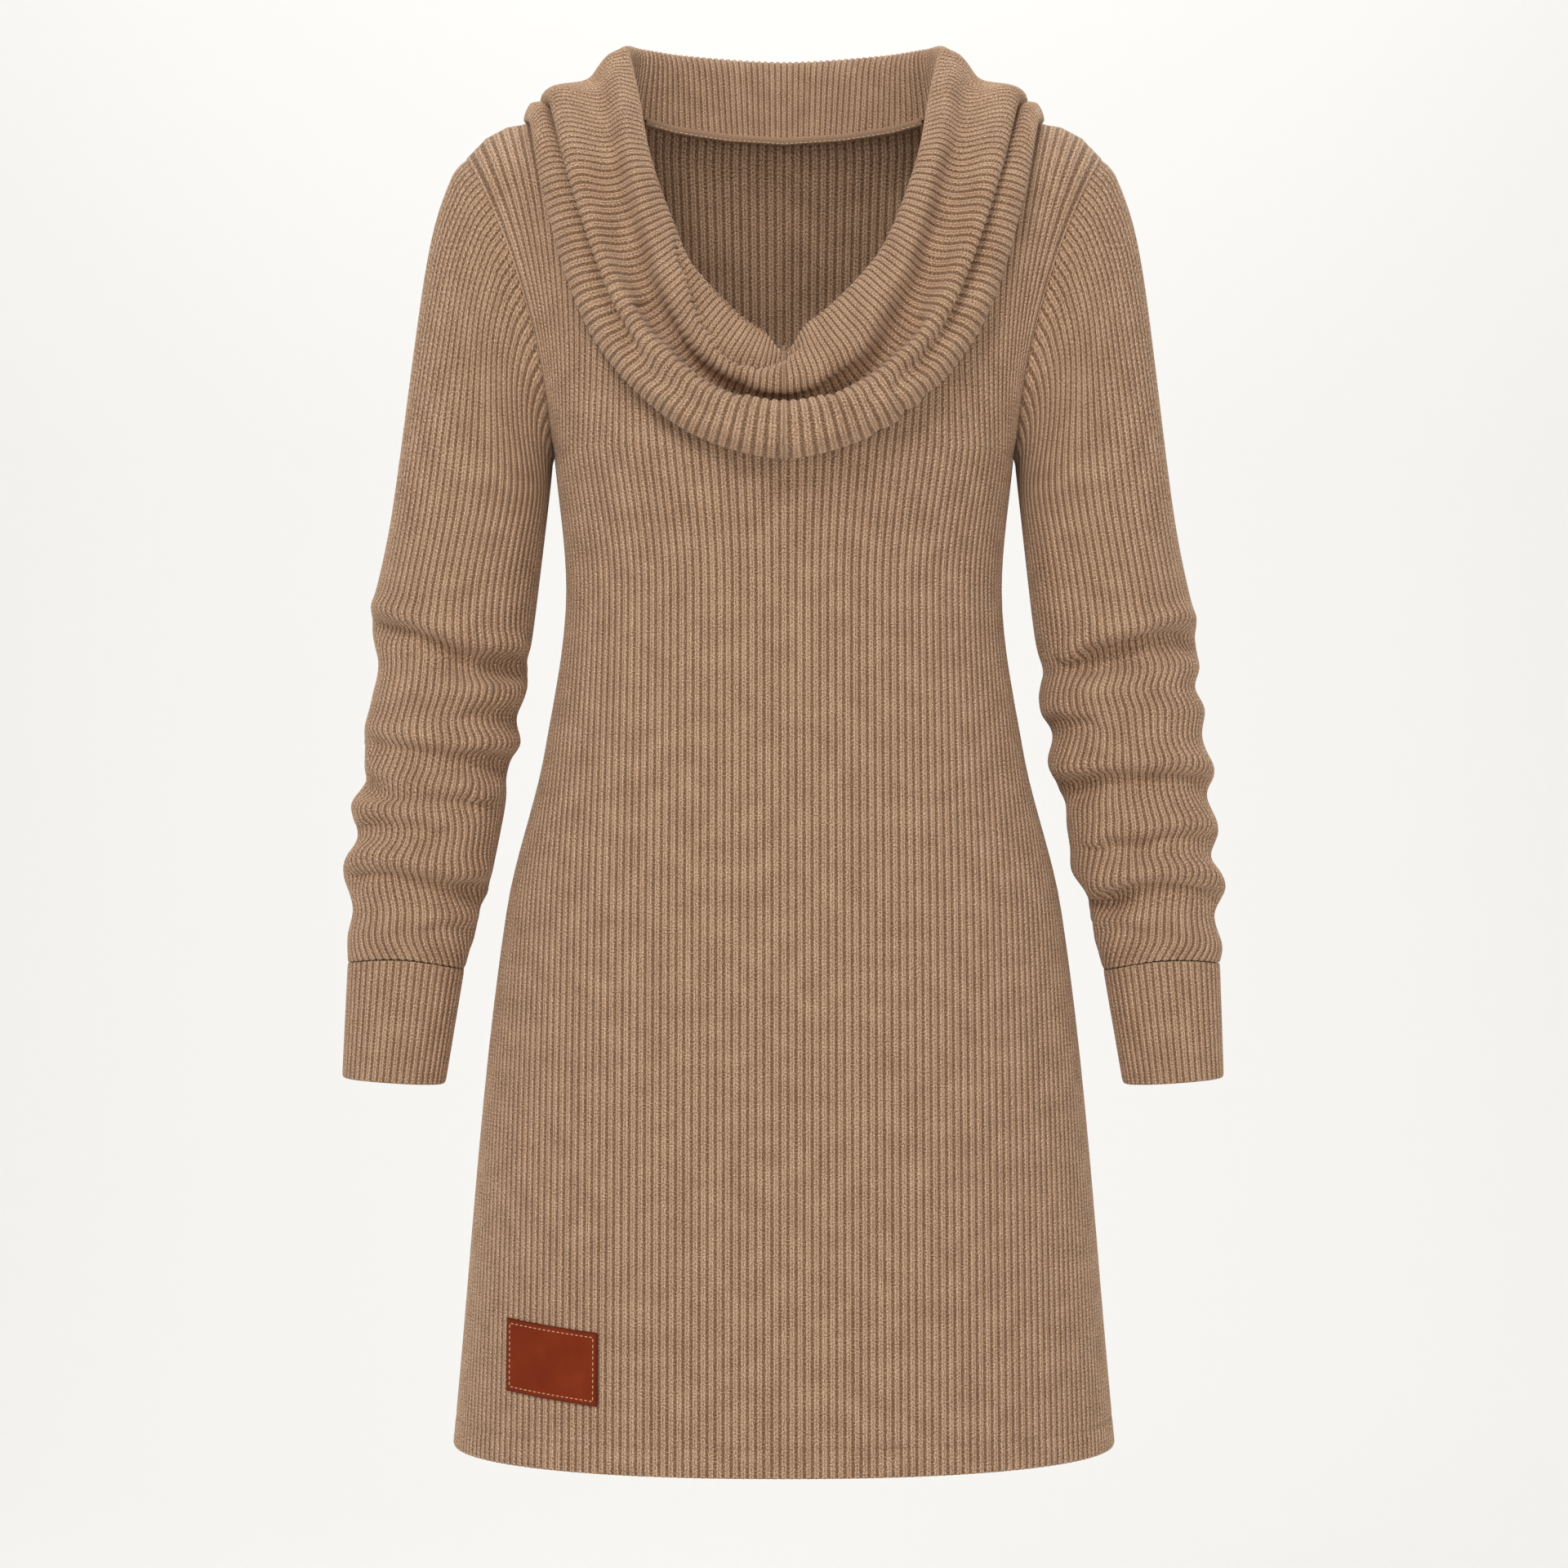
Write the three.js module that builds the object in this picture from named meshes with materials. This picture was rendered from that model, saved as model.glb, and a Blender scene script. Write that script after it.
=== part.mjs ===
// A long-sleeved sweater dress in rib knit with a wide cowl collar, filled out as if worn and hollow inside.
// Millimetres, +Z up. The front of the dress faces -Y. The origin lies between the shoulders at neck height,
// where the wearer carries the dress. Every piece of cloth is a wall with plain inner faces and raised ribs.
import * as THREE from "three";

// Cloth
const WALL = 2.6;
const RIB_HEIGHT = 0.7;
const RIB_PITCH = 5.3;
const HALF_PITCH = RIB_PITCH / 2;
const SEAM_GAP = 0.3;
const HALF_GAP = SEAM_GAP / 2;
// Least share of half a rib that is left beside a side edge.
const LEAST_EDGE_COLUMN = 0.4;

// Power of the ovals that the sections of body and sleeves are made of; 2 is an ellipse.
const ROUNDNESS = 2.2;

// Columns of the plain inner faces, as shares of the way from a piece's middle line to its side edge.
const INNER_SHARES = [0, 0.15, 0.3, 0.45, 0.58, 0.7, 0.8, 0.88, 0.94, 1];

// Level sections of the body, from the hem up to the underarm: half width at the side seams, and how far
// the front and the back reach from the side seams.
const BODY_SECTIONS = [
  { z: -839, halfWidth: 210, front: 138, back: 140 },
  { z: -500, halfWidth: 176, front: 111, back: 119 },
  { z: -400, halfWidth: 152, front: 97, back: 103 },
  { z: -298, halfWidth: 138.5, front: 92, back: 84 },
  { z: -213, halfWidth: 146, front: 114, back: 93 },
];
// Below this row the ribs run straight down, and new ones start at the side seams.
const WAIST_ROW = 3;

// Reach of the yoke from the side line to front and back, from the underarm up to where the shoulder
// starts to round over.
const YOKE_SECTIONS = [
  { z: -213, front: 114, back: 93 },
  { z: -127, front: 104, back: 97 },
  { z: -61, front: 86, back: 90 },
];
// Rows of the yoke, as shares of the height from the underarm to the shoulder seam or neckline.
const YOKE_HEIGHTS = [0.12, 0.45, 0.8, 1];

// Right half of the shoulder seam, from the side of the neck to the tip.
const SHOULDER_SEAM = [
  { x: 105, y: 18, z: 11 },
  { x: 135, y: 14, z: 6.5 },
  { x: 160, y: 10, z: 1.5 },
  { x: 177, y: 7, z: -2 },
  { x: 190, y: 4, z: -9.5 },
  { x: 202, y: 0, z: -23 },
];

// Right half of the neckline, in front and behind, from the centre to the side of the neck.
// y follows from the yoke's surface.
const FRONT_NECKLINE = [
  { x: 0, z: -170 },
  { x: 30, z: -152 },
  { x: 58, z: -117 },
  { x: 78, z: -77 },
  { x: 90, z: -40 },
  { x: 98, z: -12 },
  { x: 105, z: 11 },
];
const BACK_NECKLINE = [
  { x: 0, z: -2 },
  { x: 40, z: 0 },
  { x: 75, z: 4 },
  { x: 95, z: 8 },
  { x: 105, z: 11 },
];
// The line that the yoke rounds over to, carried on across the neck hole.
const YOKE_RIDGE = [{ x: 0, y: 0, z: 25 }, { x: 60, y: 8, z: 20 }, ...SHOULDER_SEAM];
// Share of a panel's columns that end on the neckline; the rest end on the shoulder seam.
const NECK_SHARE = 0.58;
// How closely the columns near the side follow the armhole's curve.
const ARMHOLE_PULL_POWER = 3;
// On the shoulder seam the wall is SHOULDER_WALL thick straight down. It turns to that from the level wall of
// the neckline over this share of the columns.
const SHOULDER_WALL = 1.35;
const SHOULDER_TURN = 0.12;
// Half ribs between the plain columns along a panel's hem and its top edge.
const EDGE_STEP = { hem: 6.5, top: 2.5 };

// Sections through a sleeve. Each is a closed ring between a point on the outer line and one on the
// underarm line, with its middle moved to y and its reach to front and back as depth. bow moves the
// front and the back of the ring towards the chest. The first row is the armhole seam, the last the cuff seam.
const ARMHOLE = { outerX: 202, outerZ: -23, innerX: 146, innerZ: -213, y: 0, depth: 58, bow: 12 };
const SLEEVE_LEFT = [
  ARMHOLE,
  { outerX: 214, outerZ: -42, innerX: 147.5, innerZ: -218, y: 0, depth: 58, bow: 7 },
  { outerX: 228, outerZ: -96, innerX: 148, innerZ: -224, y: 0, depth: 57, bow: 3 },
  { outerX: 249, outerZ: -248, innerX: 151, innerZ: -252, y: 0, depth: 52, bow: 0 },
  { outerX: 262.5, outerZ: -306, innerX: 159, innerZ: -328, y: -1, depth: 52, bow: 0 },
  { outerX: 259.5, outerZ: -330, innerX: 164, innerZ: -346, y: -2, depth: 46, bow: 0 },
  { outerX: 263, outerZ: -362, innerX: 162, innerZ: -366, y: -3, depth: 51, bow: 0 },
  { outerX: 266, outerZ: -416, innerX: 175, innerZ: -411, y: -6, depth: 45, bow: 0 },
  { outerX: 274.5, outerZ: -433, innerX: 177, innerZ: -434, y: -8, depth: 49, bow: 0 },
  { outerX: 280, outerZ: -476, innerX: 183, innerZ: -474, y: -12, depth: 47, bow: 0 },
  { outerX: 272.5, outerZ: -499, innerX: 190, innerZ: -491, y: -15, depth: 38, bow: 0 },
  { outerX: 277, outerZ: -520, innerX: 196, innerZ: -523, y: -17, depth: 38, bow: 0 },
  { outerX: 275.5, outerZ: -533.7, innerX: 202, innerZ: -538, y: -18, depth: 30, bow: 0 },
];
const SLEEVE_RIGHT = [
  ARMHOLE,
  { outerX: 214, outerZ: -42, innerX: 147.5, innerZ: -218, y: 0, depth: 58, bow: 7 },
  { outerX: 228, outerZ: -96, innerX: 148, innerZ: -224, y: 0, depth: 57, bow: 3 },
  { outerX: 247.5, outerZ: -248, innerX: 151, innerZ: -252, y: 0, depth: 52, bow: 0 },
  { outerX: 261, outerZ: -312, innerX: 160, innerZ: -326, y: -1, depth: 52, bow: 0 },
  { outerX: 260, outerZ: -331, innerX: 164.5, innerZ: -350, y: -2, depth: 46, bow: 0 },
  { outerX: 266.5, outerZ: -371, innerX: 163, innerZ: -366, y: -4, depth: 51, bow: 0 },
  { outerX: 272, outerZ: -409, innerX: 169, innerZ: -410, y: -6, depth: 49, bow: 0 },
  { outerX: 268.5, outerZ: -426, innerX: 176, innerZ: -425, y: -8, depth: 44, bow: 0 },
  { outerX: 275.5, outerZ: -451, innerX: 181, innerZ: -452, y: -11, depth: 47, bow: 0 },
  { outerX: 279.5, outerZ: -487, innerX: 184, innerZ: -477, y: -14, depth: 44, bow: 0 },
  { outerX: 271.5, outerZ: -507, innerX: 192, innerZ: -495, y: -16, depth: 37, bow: 0 },
  { outerX: 275.3, outerZ: -534, innerX: 201.8, innerZ: -538.5, y: -18, depth: 30, bow: 0 },
];
// Below this row of either table the ribs run straight down and end at the underarm line.
const BICEPS_RING = 3;

// Cuffs, from the seam to the folded lower edge.
const CUFF_RIB_PITCH = 4.7;
const CUFF_BOTTOM = {
  left: { outerX: 278.7, outerZ: -606, innerX: 213.8, innerZ: -610.5, y: -21, depth: 27, bow: 0 },
  right: { outerX: 277.4, outerZ: -606, innerX: 214, innerZ: -610.5, y: -21, depth: 27, bow: 0 },
};
const CUFF_FOLD = 1.6;

// Cowl collar. Each row is a section across the cloth on the right half, from the front centre (0) to the
// back centre (1), as points x, y, z: edge is the top fold round the neck opening, roll the crest beside it,
// trough the soft channel, ridge the edge of the upper layer, tuck the place where the layer under it comes
// out, lower the crest of that layer, and hem its outer edge. neck is the share of the way round the neckline.
const COWL_SECTIONS = [
  {
    neck: 0, edge: [0, -112, -155], roll: [0, -129, -175], trough: [0, -120, -187],
    ridge: [0, -142, -199], tuck: [0, -143, -207], lower: [0, -138, -216], hem: [0, -126, -222],
  },
  {
    neck: 0.045, edge: [10, -111, -144], roll: [19, -126, -167], trough: [26, -118, -182],
    ridge: [33, -139, -193], tuck: [36, -140, -200], lower: [38, -135, -208], hem: [40, -123, -213],
  },
  {
    neck: 0.087, edge: [24, -109, -134], roll: [38, -122, -153], trough: [51, -114.5, -168],
    ridge: [61, -131, -178], tuck: [66, -132, -184], lower: [70, -126, -190], hem: [73, -114, -194],
  },
  {
    neck: 0.156, edge: [48, -102, -110], roll: [62, -114, -123], trough: [76, -106, -132],
    ridge: [92, -114, -143], tuck: [95, -107, -147], lower: [104, -108, -153], hem: [108, -98, -157],
  },
  {
    neck: 0.248, edge: [65, -93, -85], roll: [77, -105, -93], trough: [90, -96, -98],
    ridge: [112, -100, -103], tuck: [110, -92.5, -106], lower: [124, -94, -110], hem: [130, -86, -113],
  },
  {
    neck: 0.372, edge: [83, -79, -36], roll: [93, -88, -36], trough: [106, -82, -38],
    ridge: [132, -84, -42], tuck: [128, -78.5, -45], lower: [140, -79.5, -47], hem: [148, -73, -50],
  },
  {
    neck: 0.5, edge: [92, -36, 10], roll: [102, -40, 13], trough: [115, -36, 11],
    ridge: [143, -34, 5], tuck: [138, -31, 2], lower: [150, -36, -1], hem: [157.5, -42, -8],
  },
  {
    neck: 0.6, edge: [97, -8, 34], roll: [107, -8, 34], trough: [121, -8, 24],
    ridge: [148, -8, 14], tuck: [142, -7, 8], lower: [155, -11, 6], hem: [161.5, -16, 2.5],
  },
  {
    neck: 0.7, edge: [100, 16, 50], roll: [111, 18, 46], trough: [126, 18, 31],
    ridge: [151, 17, 17], tuck: [144, 17, 11], lower: [158, 15, 10], hem: [164, 14, 5.5],
  },
  {
    neck: 0.75, edge: [90, 44, 54], roll: [101, 50, 48], trough: [112, 55, 33],
    ridge: [135, 59, 14], tuck: [127, 55, 8], lower: [141, 57, 0], hem: [147, 54, -11],
  },
  {
    neck: 0.856, edge: [60, 68, 54], roll: [67, 77, 50], trough: [73, 84, 34],
    ridge: [88, 89, 8], tuck: [83, 82, 1], lower: [92, 87, -12], hem: [96, 83, -27],
  },
  {
    neck: 1, edge: [0, 82, 53], roll: [0, 91, 49], trough: [0, 96, 32],
    ridge: [0, 98, 0], tuck: [0, 90, -6], lower: [0, 98, -20], hem: [0, 91, -36],
  },
];
const COWL_LINES = ["edge", "roll", "trough", "ridge", "tuck", "lower", "hem"];
const COWL_RIBS = 72;
const COWL_INNER_COLUMNS = 22;
const COWL_SEAM_GAP = 1.4;
const MITRE_LIMIT = 1.6;

// Neck binding inside the back neck, and the leather patch near the hem.
const BINDING = { halfWidth: 92, height: 5, thickness: 1, clear: 0.55, columns: 24 };
const PATCH = {
  fromX: -170, toX: -113, topZ: -750, height: 44, tilt: 0.08, thickness: 1.4, clear: 0.4, steps: 8,
};

const KNIT = { color: 0xa5866c, roughness: 0.95, metalness: 0 };
const LEATHER = { color: 0x8a3d1c, roughness: 0.6, metalness: 0 };

// Steps in which curves are followed and slopes are taken.
const QUARTER_STEPS = 90;
const RING_STEPS = 72;
const NECKLINE_STEPS = 600;
const TURN_STEPS = 720;
const SLOPE_STEP = 0.02;
const TURN_SLOPE_STEP = 0.004;
const NECK_SLOPE_STEP = 0.01;
// A share or height past this counts as the edge itself, and keys nearer than KEY_TOLERANCE as equal.
const AT_EDGE = 0.999;
const KEY_TOLERANCE = 1e-6;

const vec = (x, y, z) => new THREE.Vector3(x, y, z);
const lerp = THREE.MathUtils.lerp;

// Point at a share (0 to 1) of the length of a polyline.
function alongPolyline(points, share) {
  const lengths = [0];
  for (let i = 1; i < points.length; i += 1) {
    lengths.push(lengths[i - 1] + points[i].distanceTo(points[i - 1]));
  }
  const target = share * lengths[lengths.length - 1];
  let i = 1;
  while (i < points.length - 1 && lengths[i] < target) {
    i += 1;
  }
  const t = (target - lengths[i - 1]) / (lengths[i] - lengths[i - 1]);
  return { index: i - 1, t, point: points[i - 1].clone().lerp(points[i], t) };
}

function polylineLength(points) {
  return points.slice(1).reduce((sum, point, i) => sum + point.distanceTo(points[i]), 0);
}

// A closed wall is made of rows of vertices. Each vertex has a key that rises along its row, and two rows
// with different counts are joined by taking the nearer key first.
class Wall {
  constructor() {
    this.vertices = [];
    this.triangles = [];
  }

  row(points, keys, closed) {
    const kept = closed ? points.slice(0, -1) : points;
    const first = this.vertices.length;
    this.vertices.push(...kept);
    const ids = points.map((_, i) => first + (closed && i === points.length - 1 ? 0 : i));
    return { ids, keys };
  }

  join(a, b) {
    let i = 0;
    let j = 0;
    const lastA = a.ids.length - 1;
    const lastB = b.ids.length - 1;
    while (i < lastA || j < lastB) {
      const nextA = i < lastA ? a.keys[i + 1] : Infinity;
      const nextB = j < lastB ? b.keys[j + 1] : Infinity;
      const same = Math.abs(nextA - nextB) < KEY_TOLERANCE || (i === lastA - 1 && j === lastB - 1);
      if (same) {
        this.triangles.push([a.ids[i], a.ids[i + 1], b.ids[j + 1]]);
        this.triangles.push([a.ids[i], b.ids[j + 1], b.ids[j]]);
        i += 1;
        j += 1;
      } else if (nextA < nextB) {
        this.triangles.push([a.ids[i], a.ids[i + 1], b.ids[j]]);
        i += 1;
      } else {
        this.triangles.push([a.ids[i], b.ids[j + 1], b.ids[j]]);
        j += 1;
      }
    }
  }

  // Joins outer rows, then the inner rows back again, and closes the ends of an open wall.
  fill(outer, inner, closed) {
    const unit = (row) => ({ ids: row.ids, keys: row.keys.map((key) => key / row.keys[row.keys.length - 1]) });
    const loop = [...outer, ...inner.slice().reverse()];
    loop.forEach((row, i) => {
      const next = loop[(i + 1) % loop.length];
      const alike = i !== outer.length - 1 && i !== loop.length - 1;
      this.join(alike ? row : unit(row), alike ? next : unit(next));
    });
    if (closed) {
      return;
    }
    for (let r = 0; r < outer.length - 1; r += 1) {
      const [o0, o1, i0, i1] = [outer[r], outer[r + 1], inner[r], inner[r + 1]].map((row) => row.ids);
      this.triangles.push([o1.at(-1), o0.at(-1), i0.at(-1)], [o1.at(-1), i0.at(-1), i1.at(-1)]);
      this.triangles.push([o0[0], o1[0], i1[0]], [o0[0], i1[0], i0[0]]);
    }
  }

  mesh(name, look) {
    const [a, b, c] = [vec(), vec(), vec()];
    const volume = this.triangles.reduce((sum, [i, j, k]) => {
      a.copy(this.vertices[i]);
      b.copy(this.vertices[j]);
      c.copy(this.vertices[k]);
      return sum + a.dot(b.cross(c));
    }, 0);
    const order = volume < 0 ? ([i, j, k]) => [i, k, j] : (triangle) => triangle;
    const geometry = new THREE.BufferGeometry().setFromPoints(this.vertices);
    geometry.setIndex(this.triangles.flatMap(order));
    geometry.computeVertexNormals();
    const mesh = new THREE.Mesh(geometry, new THREE.MeshStandardMaterial(look));
    mesh.name = name;
    return mesh;
  }
}

// Quarter of a body section from the centre line to the side seam, as a polyline of x, y >= 0.
function quarterSection(halfWidth, depth) {
  return Array.from({ length: QUARTER_STEPS + 1 }, (_, i) => {
    const angle = (i / QUARTER_STEPS) * (Math.PI / 2);
    const power = 2 / ROUNDNESS;
    return vec(halfWidth * Math.sin(angle) ** power, depth * Math.max(0, Math.cos(angle)) ** power, 0);
  });
}

// Point of a sleeve ring at an angle from its outer line, side -1 for the front half and 1 for the back.
function ringPoint(ring, angle, side) {
  const power = 2 / ROUNDNESS;
  const along = Math.sign(Math.cos(angle)) * Math.abs(Math.cos(angle)) ** power;
  const across = Math.max(0, Math.sin(angle)) ** power;
  const x = lerp(ring.innerX, ring.outerX, (1 + along) / 2) - ring.bow * Math.sin(angle) ** 2;
  return vec(x, ring.y + side * ring.depth * across, lerp(ring.innerZ, ring.outerZ, (1 + along) / 2));
}

// Direction from the ring's line into its hollow, within the ring's own plane.
function ringInward(ring, angle, side) {
  const tangent = ringPoint(ring, Math.min(Math.PI, angle + SLOPE_STEP), side);
  tangent.sub(ringPoint(ring, Math.max(0, angle - SLOPE_STEP), side));
  if (angle < SLOPE_STEP || angle > Math.PI - SLOPE_STEP) {
    tangent.set(0, 1, 0);
  }
  const inward = ringNormal(ring).cross(tangent).normalize();
  const middle = vec((ring.outerX + ring.innerX) / 2, ring.y, (ring.outerZ + ring.innerZ) / 2);
  return middle.sub(ringPoint(ring, angle, side)).dot(inward) < 0 ? inward.negate() : inward;
}

// Unit vector square to the ring's plane, pointing down the sleeve.
function ringNormal(ring) {
  return vec(ring.outerZ - ring.innerZ, 0, ring.innerX - ring.outerX).normalize();
}

// Angle on a ring at a share of the way from its underarm line to its outer line.
function ringAngle(share) {
  const along = 2 * share - 1;
  return Math.acos(Math.sign(along) * Math.abs(along) ** (ROUNDNESS / 2));
}

const ARMHOLE_ANGLES = [0, ...YOKE_HEIGHTS].reverse().map(ringAngle);

// Linear interpolation in a table by any of its columns.
function tableAt(table, column, value, wanted) {
  let i = 1;
  while (i < table.length - 1 && table[i][column] < value) {
    i += 1;
  }
  const t = (value - table[i - 1][column]) / (table[i][column] - table[i - 1][column]);
  return lerp(table[i - 1][wanted], table[i][wanted], t);
}

// The yoke's outer surface as y over x and z. Its level sections are the ovals that pass through the
// armhole seam, and above the last of them it rounds over to the shoulder seam.
function yokeSurface(side) {
  const { z: underarm } = YOKE_SECTIONS[0];
  const { z: roundOver } = YOKE_SECTIONS.at(-1);
  const sectionY = (x, z) => {
    const depth = tableAt(YOKE_SECTIONS, "z", z, side < 0 ? "front" : "back");
    const share = (z - underarm) / (ARMHOLE.outerZ - underarm);
    const edge = ringPoint(ARMHOLE, ringAngle(Math.max(0, share)), side);
    const fall = 1 - Math.min(AT_EDGE, Math.abs(edge.y) / depth) ** ROUNDNESS;
    const halfWidth = edge.x / fall ** (1 / ROUNDNESS);
    return side * depth * Math.max(0, 1 - (x / halfWidth) ** ROUNDNESS) ** (1 / ROUNDNESS);
  };
  return (x, z) => {
    if (z <= roundOver) {
      return sectionY(x, z);
    }
    const [topY, topZ] = ["y", "z"].map((wanted) => tableAt(YOKE_RIDGE, "x", x, wanted));
    const rise = Math.min(1, (z - roundOver) / (topZ - roundOver));
    return lerp(topY, sectionY(x, roundOver), Math.sqrt(1 - rise * rise));
  };
}

// Right half of a neckline on the yoke's surface, as a fine polyline.
function necklinePoints(side) {
  const table = side < 0 ? FRONT_NECKLINE : BACK_NECKLINE;
  const surface = yokeSurface(side);
  const corners = table.map(({ x, z }) => vec(x, surface(x, z), z));
  return Array.from({ length: NECKLINE_STEPS + 1 }, (_, i) => {
    const { x, z } = alongPolyline(corners, i / NECKLINE_STEPS).point;
    return vec(x, surface(x, z), z);
  });
}

// Body panels. side is -1 for the front and 1 for the back. A place on a panel is a share of the way from
// the centre line to its side edge, and a height: a row of BODY_SECTIONS or a share of the yoke.
function panelSurface(side) {
  const depthOf = (section) => (side < 0 ? section.front : section.back);
  const quarters = BODY_SECTIONS.map((section) => quarterSection(section.halfWidth, depthOf(section)));
  const neckline = necklinePoints(side);
  const [neckPoint, tip] = [SHOULDER_SEAM[0], SHOULDER_SEAM.at(-1)];
  const underarm = BODY_SECTIONS.at(-1);
  const yokeY = yokeSurface(side);
  const level = (row, share) => {
    const point = alongPolyline(quarters[row], share).point;
    return vec(point.x, side * point.y, BODY_SECTIONS[row].z);
  };
  const yoke = (share, up) => {
    const below = alongPolyline(quarters.at(-1), share).point.x;
    const edge = ringPoint(ARMHOLE, ringAngle(up), side);
    if (share > AT_EDGE) {
      return edge;
    }
    const pull = edge.x - lerp(underarm.halfWidth, tip.x, up);
    const seamX = lerp(neckPoint.x, tip.x, (share - NECK_SHARE) / (1 - NECK_SHARE));
    const top = share < NECK_SHARE
      ? alongPolyline(neckline, share / NECK_SHARE).point
      : vec(seamX, 0, tableAt(SHOULDER_SEAM, "x", seamX, "z"));
    const x = lerp(below, top.x, up) + pull * share ** ARMHOLE_PULL_POWER;
    const z = lerp(underarm.z, top.z, up);
    return vec(x, yokeY(x, z), z);
  };
  return { quarters, level, yoke };
}

const PANELS = { front: panelSurface(-1), back: panelSurface(1) };

// Keys of a row's columns: whole half ribs from the centre, and the edge itself.
function columnKeys(last) {
  const keys = [];
  for (let k = 0; k < last - LEAST_EDGE_COLUMN; k += 1) {
    keys.push(k);
  }
  keys.push(last);
  return [...keys.slice(1).reverse().map((key) => -key), ...keys];
}

const ribDepth = (key, last) => (Math.abs(key) === last || key % 2 !== 0 ? RIB_HEIGHT : 0);

// Shares of a plain inner row, from -1 to 1. A row at a wall's edge has twice as many, so that its edge
// face stays clear of the grooves.
function innerKeys(atEdge) {
  const half = atEdge
    ? INNER_SHARES.flatMap((share, i) => (i ? [(share + INNER_SHARES[i - 1]) / 2, share] : [share]))
    : INNER_SHARES;
  return [...half.slice(1).reverse().map((share) => -share), ...half];
}

// The same on a panel, in half ribs. The plain columns run straight down like the ribs, and those past the
// waist's width start at the side seam. Along an edge they stand an even step apart.
function panelInnerKeys(last, waistColumns, edgeStep) {
  const spans = edgeStep ? Math.ceil(last / edgeStep) : 0;
  const even = Array.from({ length: spans + 1 }, (_, i) => (last * i) / spans);
  const straight = INNER_SHARES.slice(0, -1).map((share) => share * waistColumns);
  const flare = last > waistColumns ? [waistColumns, (waistColumns + last) / 2] : [];
  const half = edgeStep ? even : [...straight, ...flare, last];
  return [...half.slice(1).reverse().map((key) => -key), ...half];
}

// Direction from the panel's surface into the dress.
function panelInward(surface, place, side) {
  const { row, up, share } = place;
  const at = (s, u) => (up === null ? surface.level(row, s) : surface.yoke(s, u));
  const low = Math.max(0, share - SLOPE_STEP);
  const high = Math.min(1, share + SLOPE_STEP);
  const across = at(high, up).sub(at(low, up));
  if (up === null) {
    return vec(across.y, -across.x, 0).normalize().multiplyScalar(side);
  }
  if (share > AT_EDGE) {
    return ringInward(ARMHOLE, ringAngle(up), side);
  }
  if (up > AT_EDGE) {
    const beyondNeck = (share - NECK_SHARE) / SHOULDER_TURN;
    const down = vec(0, 0, -SHOULDER_WALL);
    return necklineInward(at(share, up)).lerp(down, THREE.MathUtils.clamp(beyondNeck, 0, 1));
  }
  const rise = at(share, Math.min(1, up + SLOPE_STEP)).sub(at(share, Math.max(0, up - SLOPE_STEP)));
  return across.cross(rise).normalize().multiplyScalar(side);
}

function necklineInward(point) {
  return vec(-point.x, -point.y, 0).normalize();
}

function panelPoint(surface, side, place, mirror, depth) {
  const { row, up, share } = place;
  const point = up === null ? surface.level(row, share) : surface.yoke(share, up);
  const atSide = share > AT_EDGE;
  const inward = atSide && (up === null || up === 0) ? vec(-1, 0, 0) : panelInward(surface, place, side);
  point.addScaledVector(inward, depth);
  if (atSide && up !== null && up > 0) {
    point.addScaledVector(ringNormal(ARMHOLE), -HALF_GAP);
  }
  if (atSide || (up === 1 && share > NECK_SHARE)) {
    point.y += side * HALF_GAP;
  }
  point.x *= mirror;
  return point;
}

function panel(name, surface, side) {
  const wall = new Wall();
  const waist = polylineLength(surface.quarters[WAIST_ROW]);
  const waistColumns = Math.round(waist / HALF_PITCH);
  const places = BODY_SECTIONS.map((_, row) => ({ row, up: null }));
  YOKE_HEIGHTS.forEach((up) => places.push({ row: null, up }));
  const outer = [];
  const inner = [];
  places.forEach((place, i) => {
    const below = place.up === null && place.row < WAIST_ROW;
    const girth = below ? polylineLength(surface.quarters[place.row]) : waist;
    const last = (girth / waist) * waistColumns;
    const at = (key, depth) => {
      const spot = { ...place, share: Math.abs(key) / last };
      return panelPoint(surface, side, spot, Math.sign(key) || 1, depth);
    };
    const keys = columnKeys(last);
    outer.push(wall.row(keys.map((key) => at(key, ribDepth(key, last))), keys, false));
    const edgeStep = { 0: EDGE_STEP.hem, [places.length - 1]: EDGE_STEP.top }[i];
    const plain = panelInnerKeys(last, waistColumns, edgeStep);
    inner.push(wall.row(plain.map((key) => at(key, WALL)), plain, false));
  });
  wall.fill(outer, inner, false);
  return wall.mesh(name, KNIT);
}

// Half of a ring as a polyline from the outer line to the underarm line. The armhole keeps the corners
// that the panels have there, so that the two pieces meet along the same line.
function halfRing(ring, side) {
  const angles = ring === ARMHOLE
    ? ARMHOLE_ANGLES
    : Array.from({ length: RING_STEPS + 1 }, (_, i) => (Math.PI * i) / RING_STEPS);
  return {
    points: angles.map((angle) => ringPoint(ring, angle, side)),
    inwards: angles.map((angle) => ringInward(ring, angle, side)),
  };
}

function ringPlace(half, share, depth, shift) {
  const { index, t, point } = alongPolyline(half.points, share);
  const inward = half.inwards[index].clone().lerp(half.inwards[index + 1], t);
  return point.addScaledVector(inward, depth).add(shift);
}

// One row of a sleeve or cuff wall, from the underarm line round the front, the outer line and the back.
function ringRow(wall, ring, keys, last, depthOf, shift, mirror) {
  const halves = { front: halfRing(ring, -1), back: halfRing(ring, 1) };
  const points = keys.map((key) => {
    const half = key < 0 ? halves.front : halves.back;
    const point = ringPlace(half, Math.abs(key) / last, depthOf(key), shift);
    point.x *= mirror;
    return point;
  });
  return wall.row(points, keys, true);
}

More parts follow.
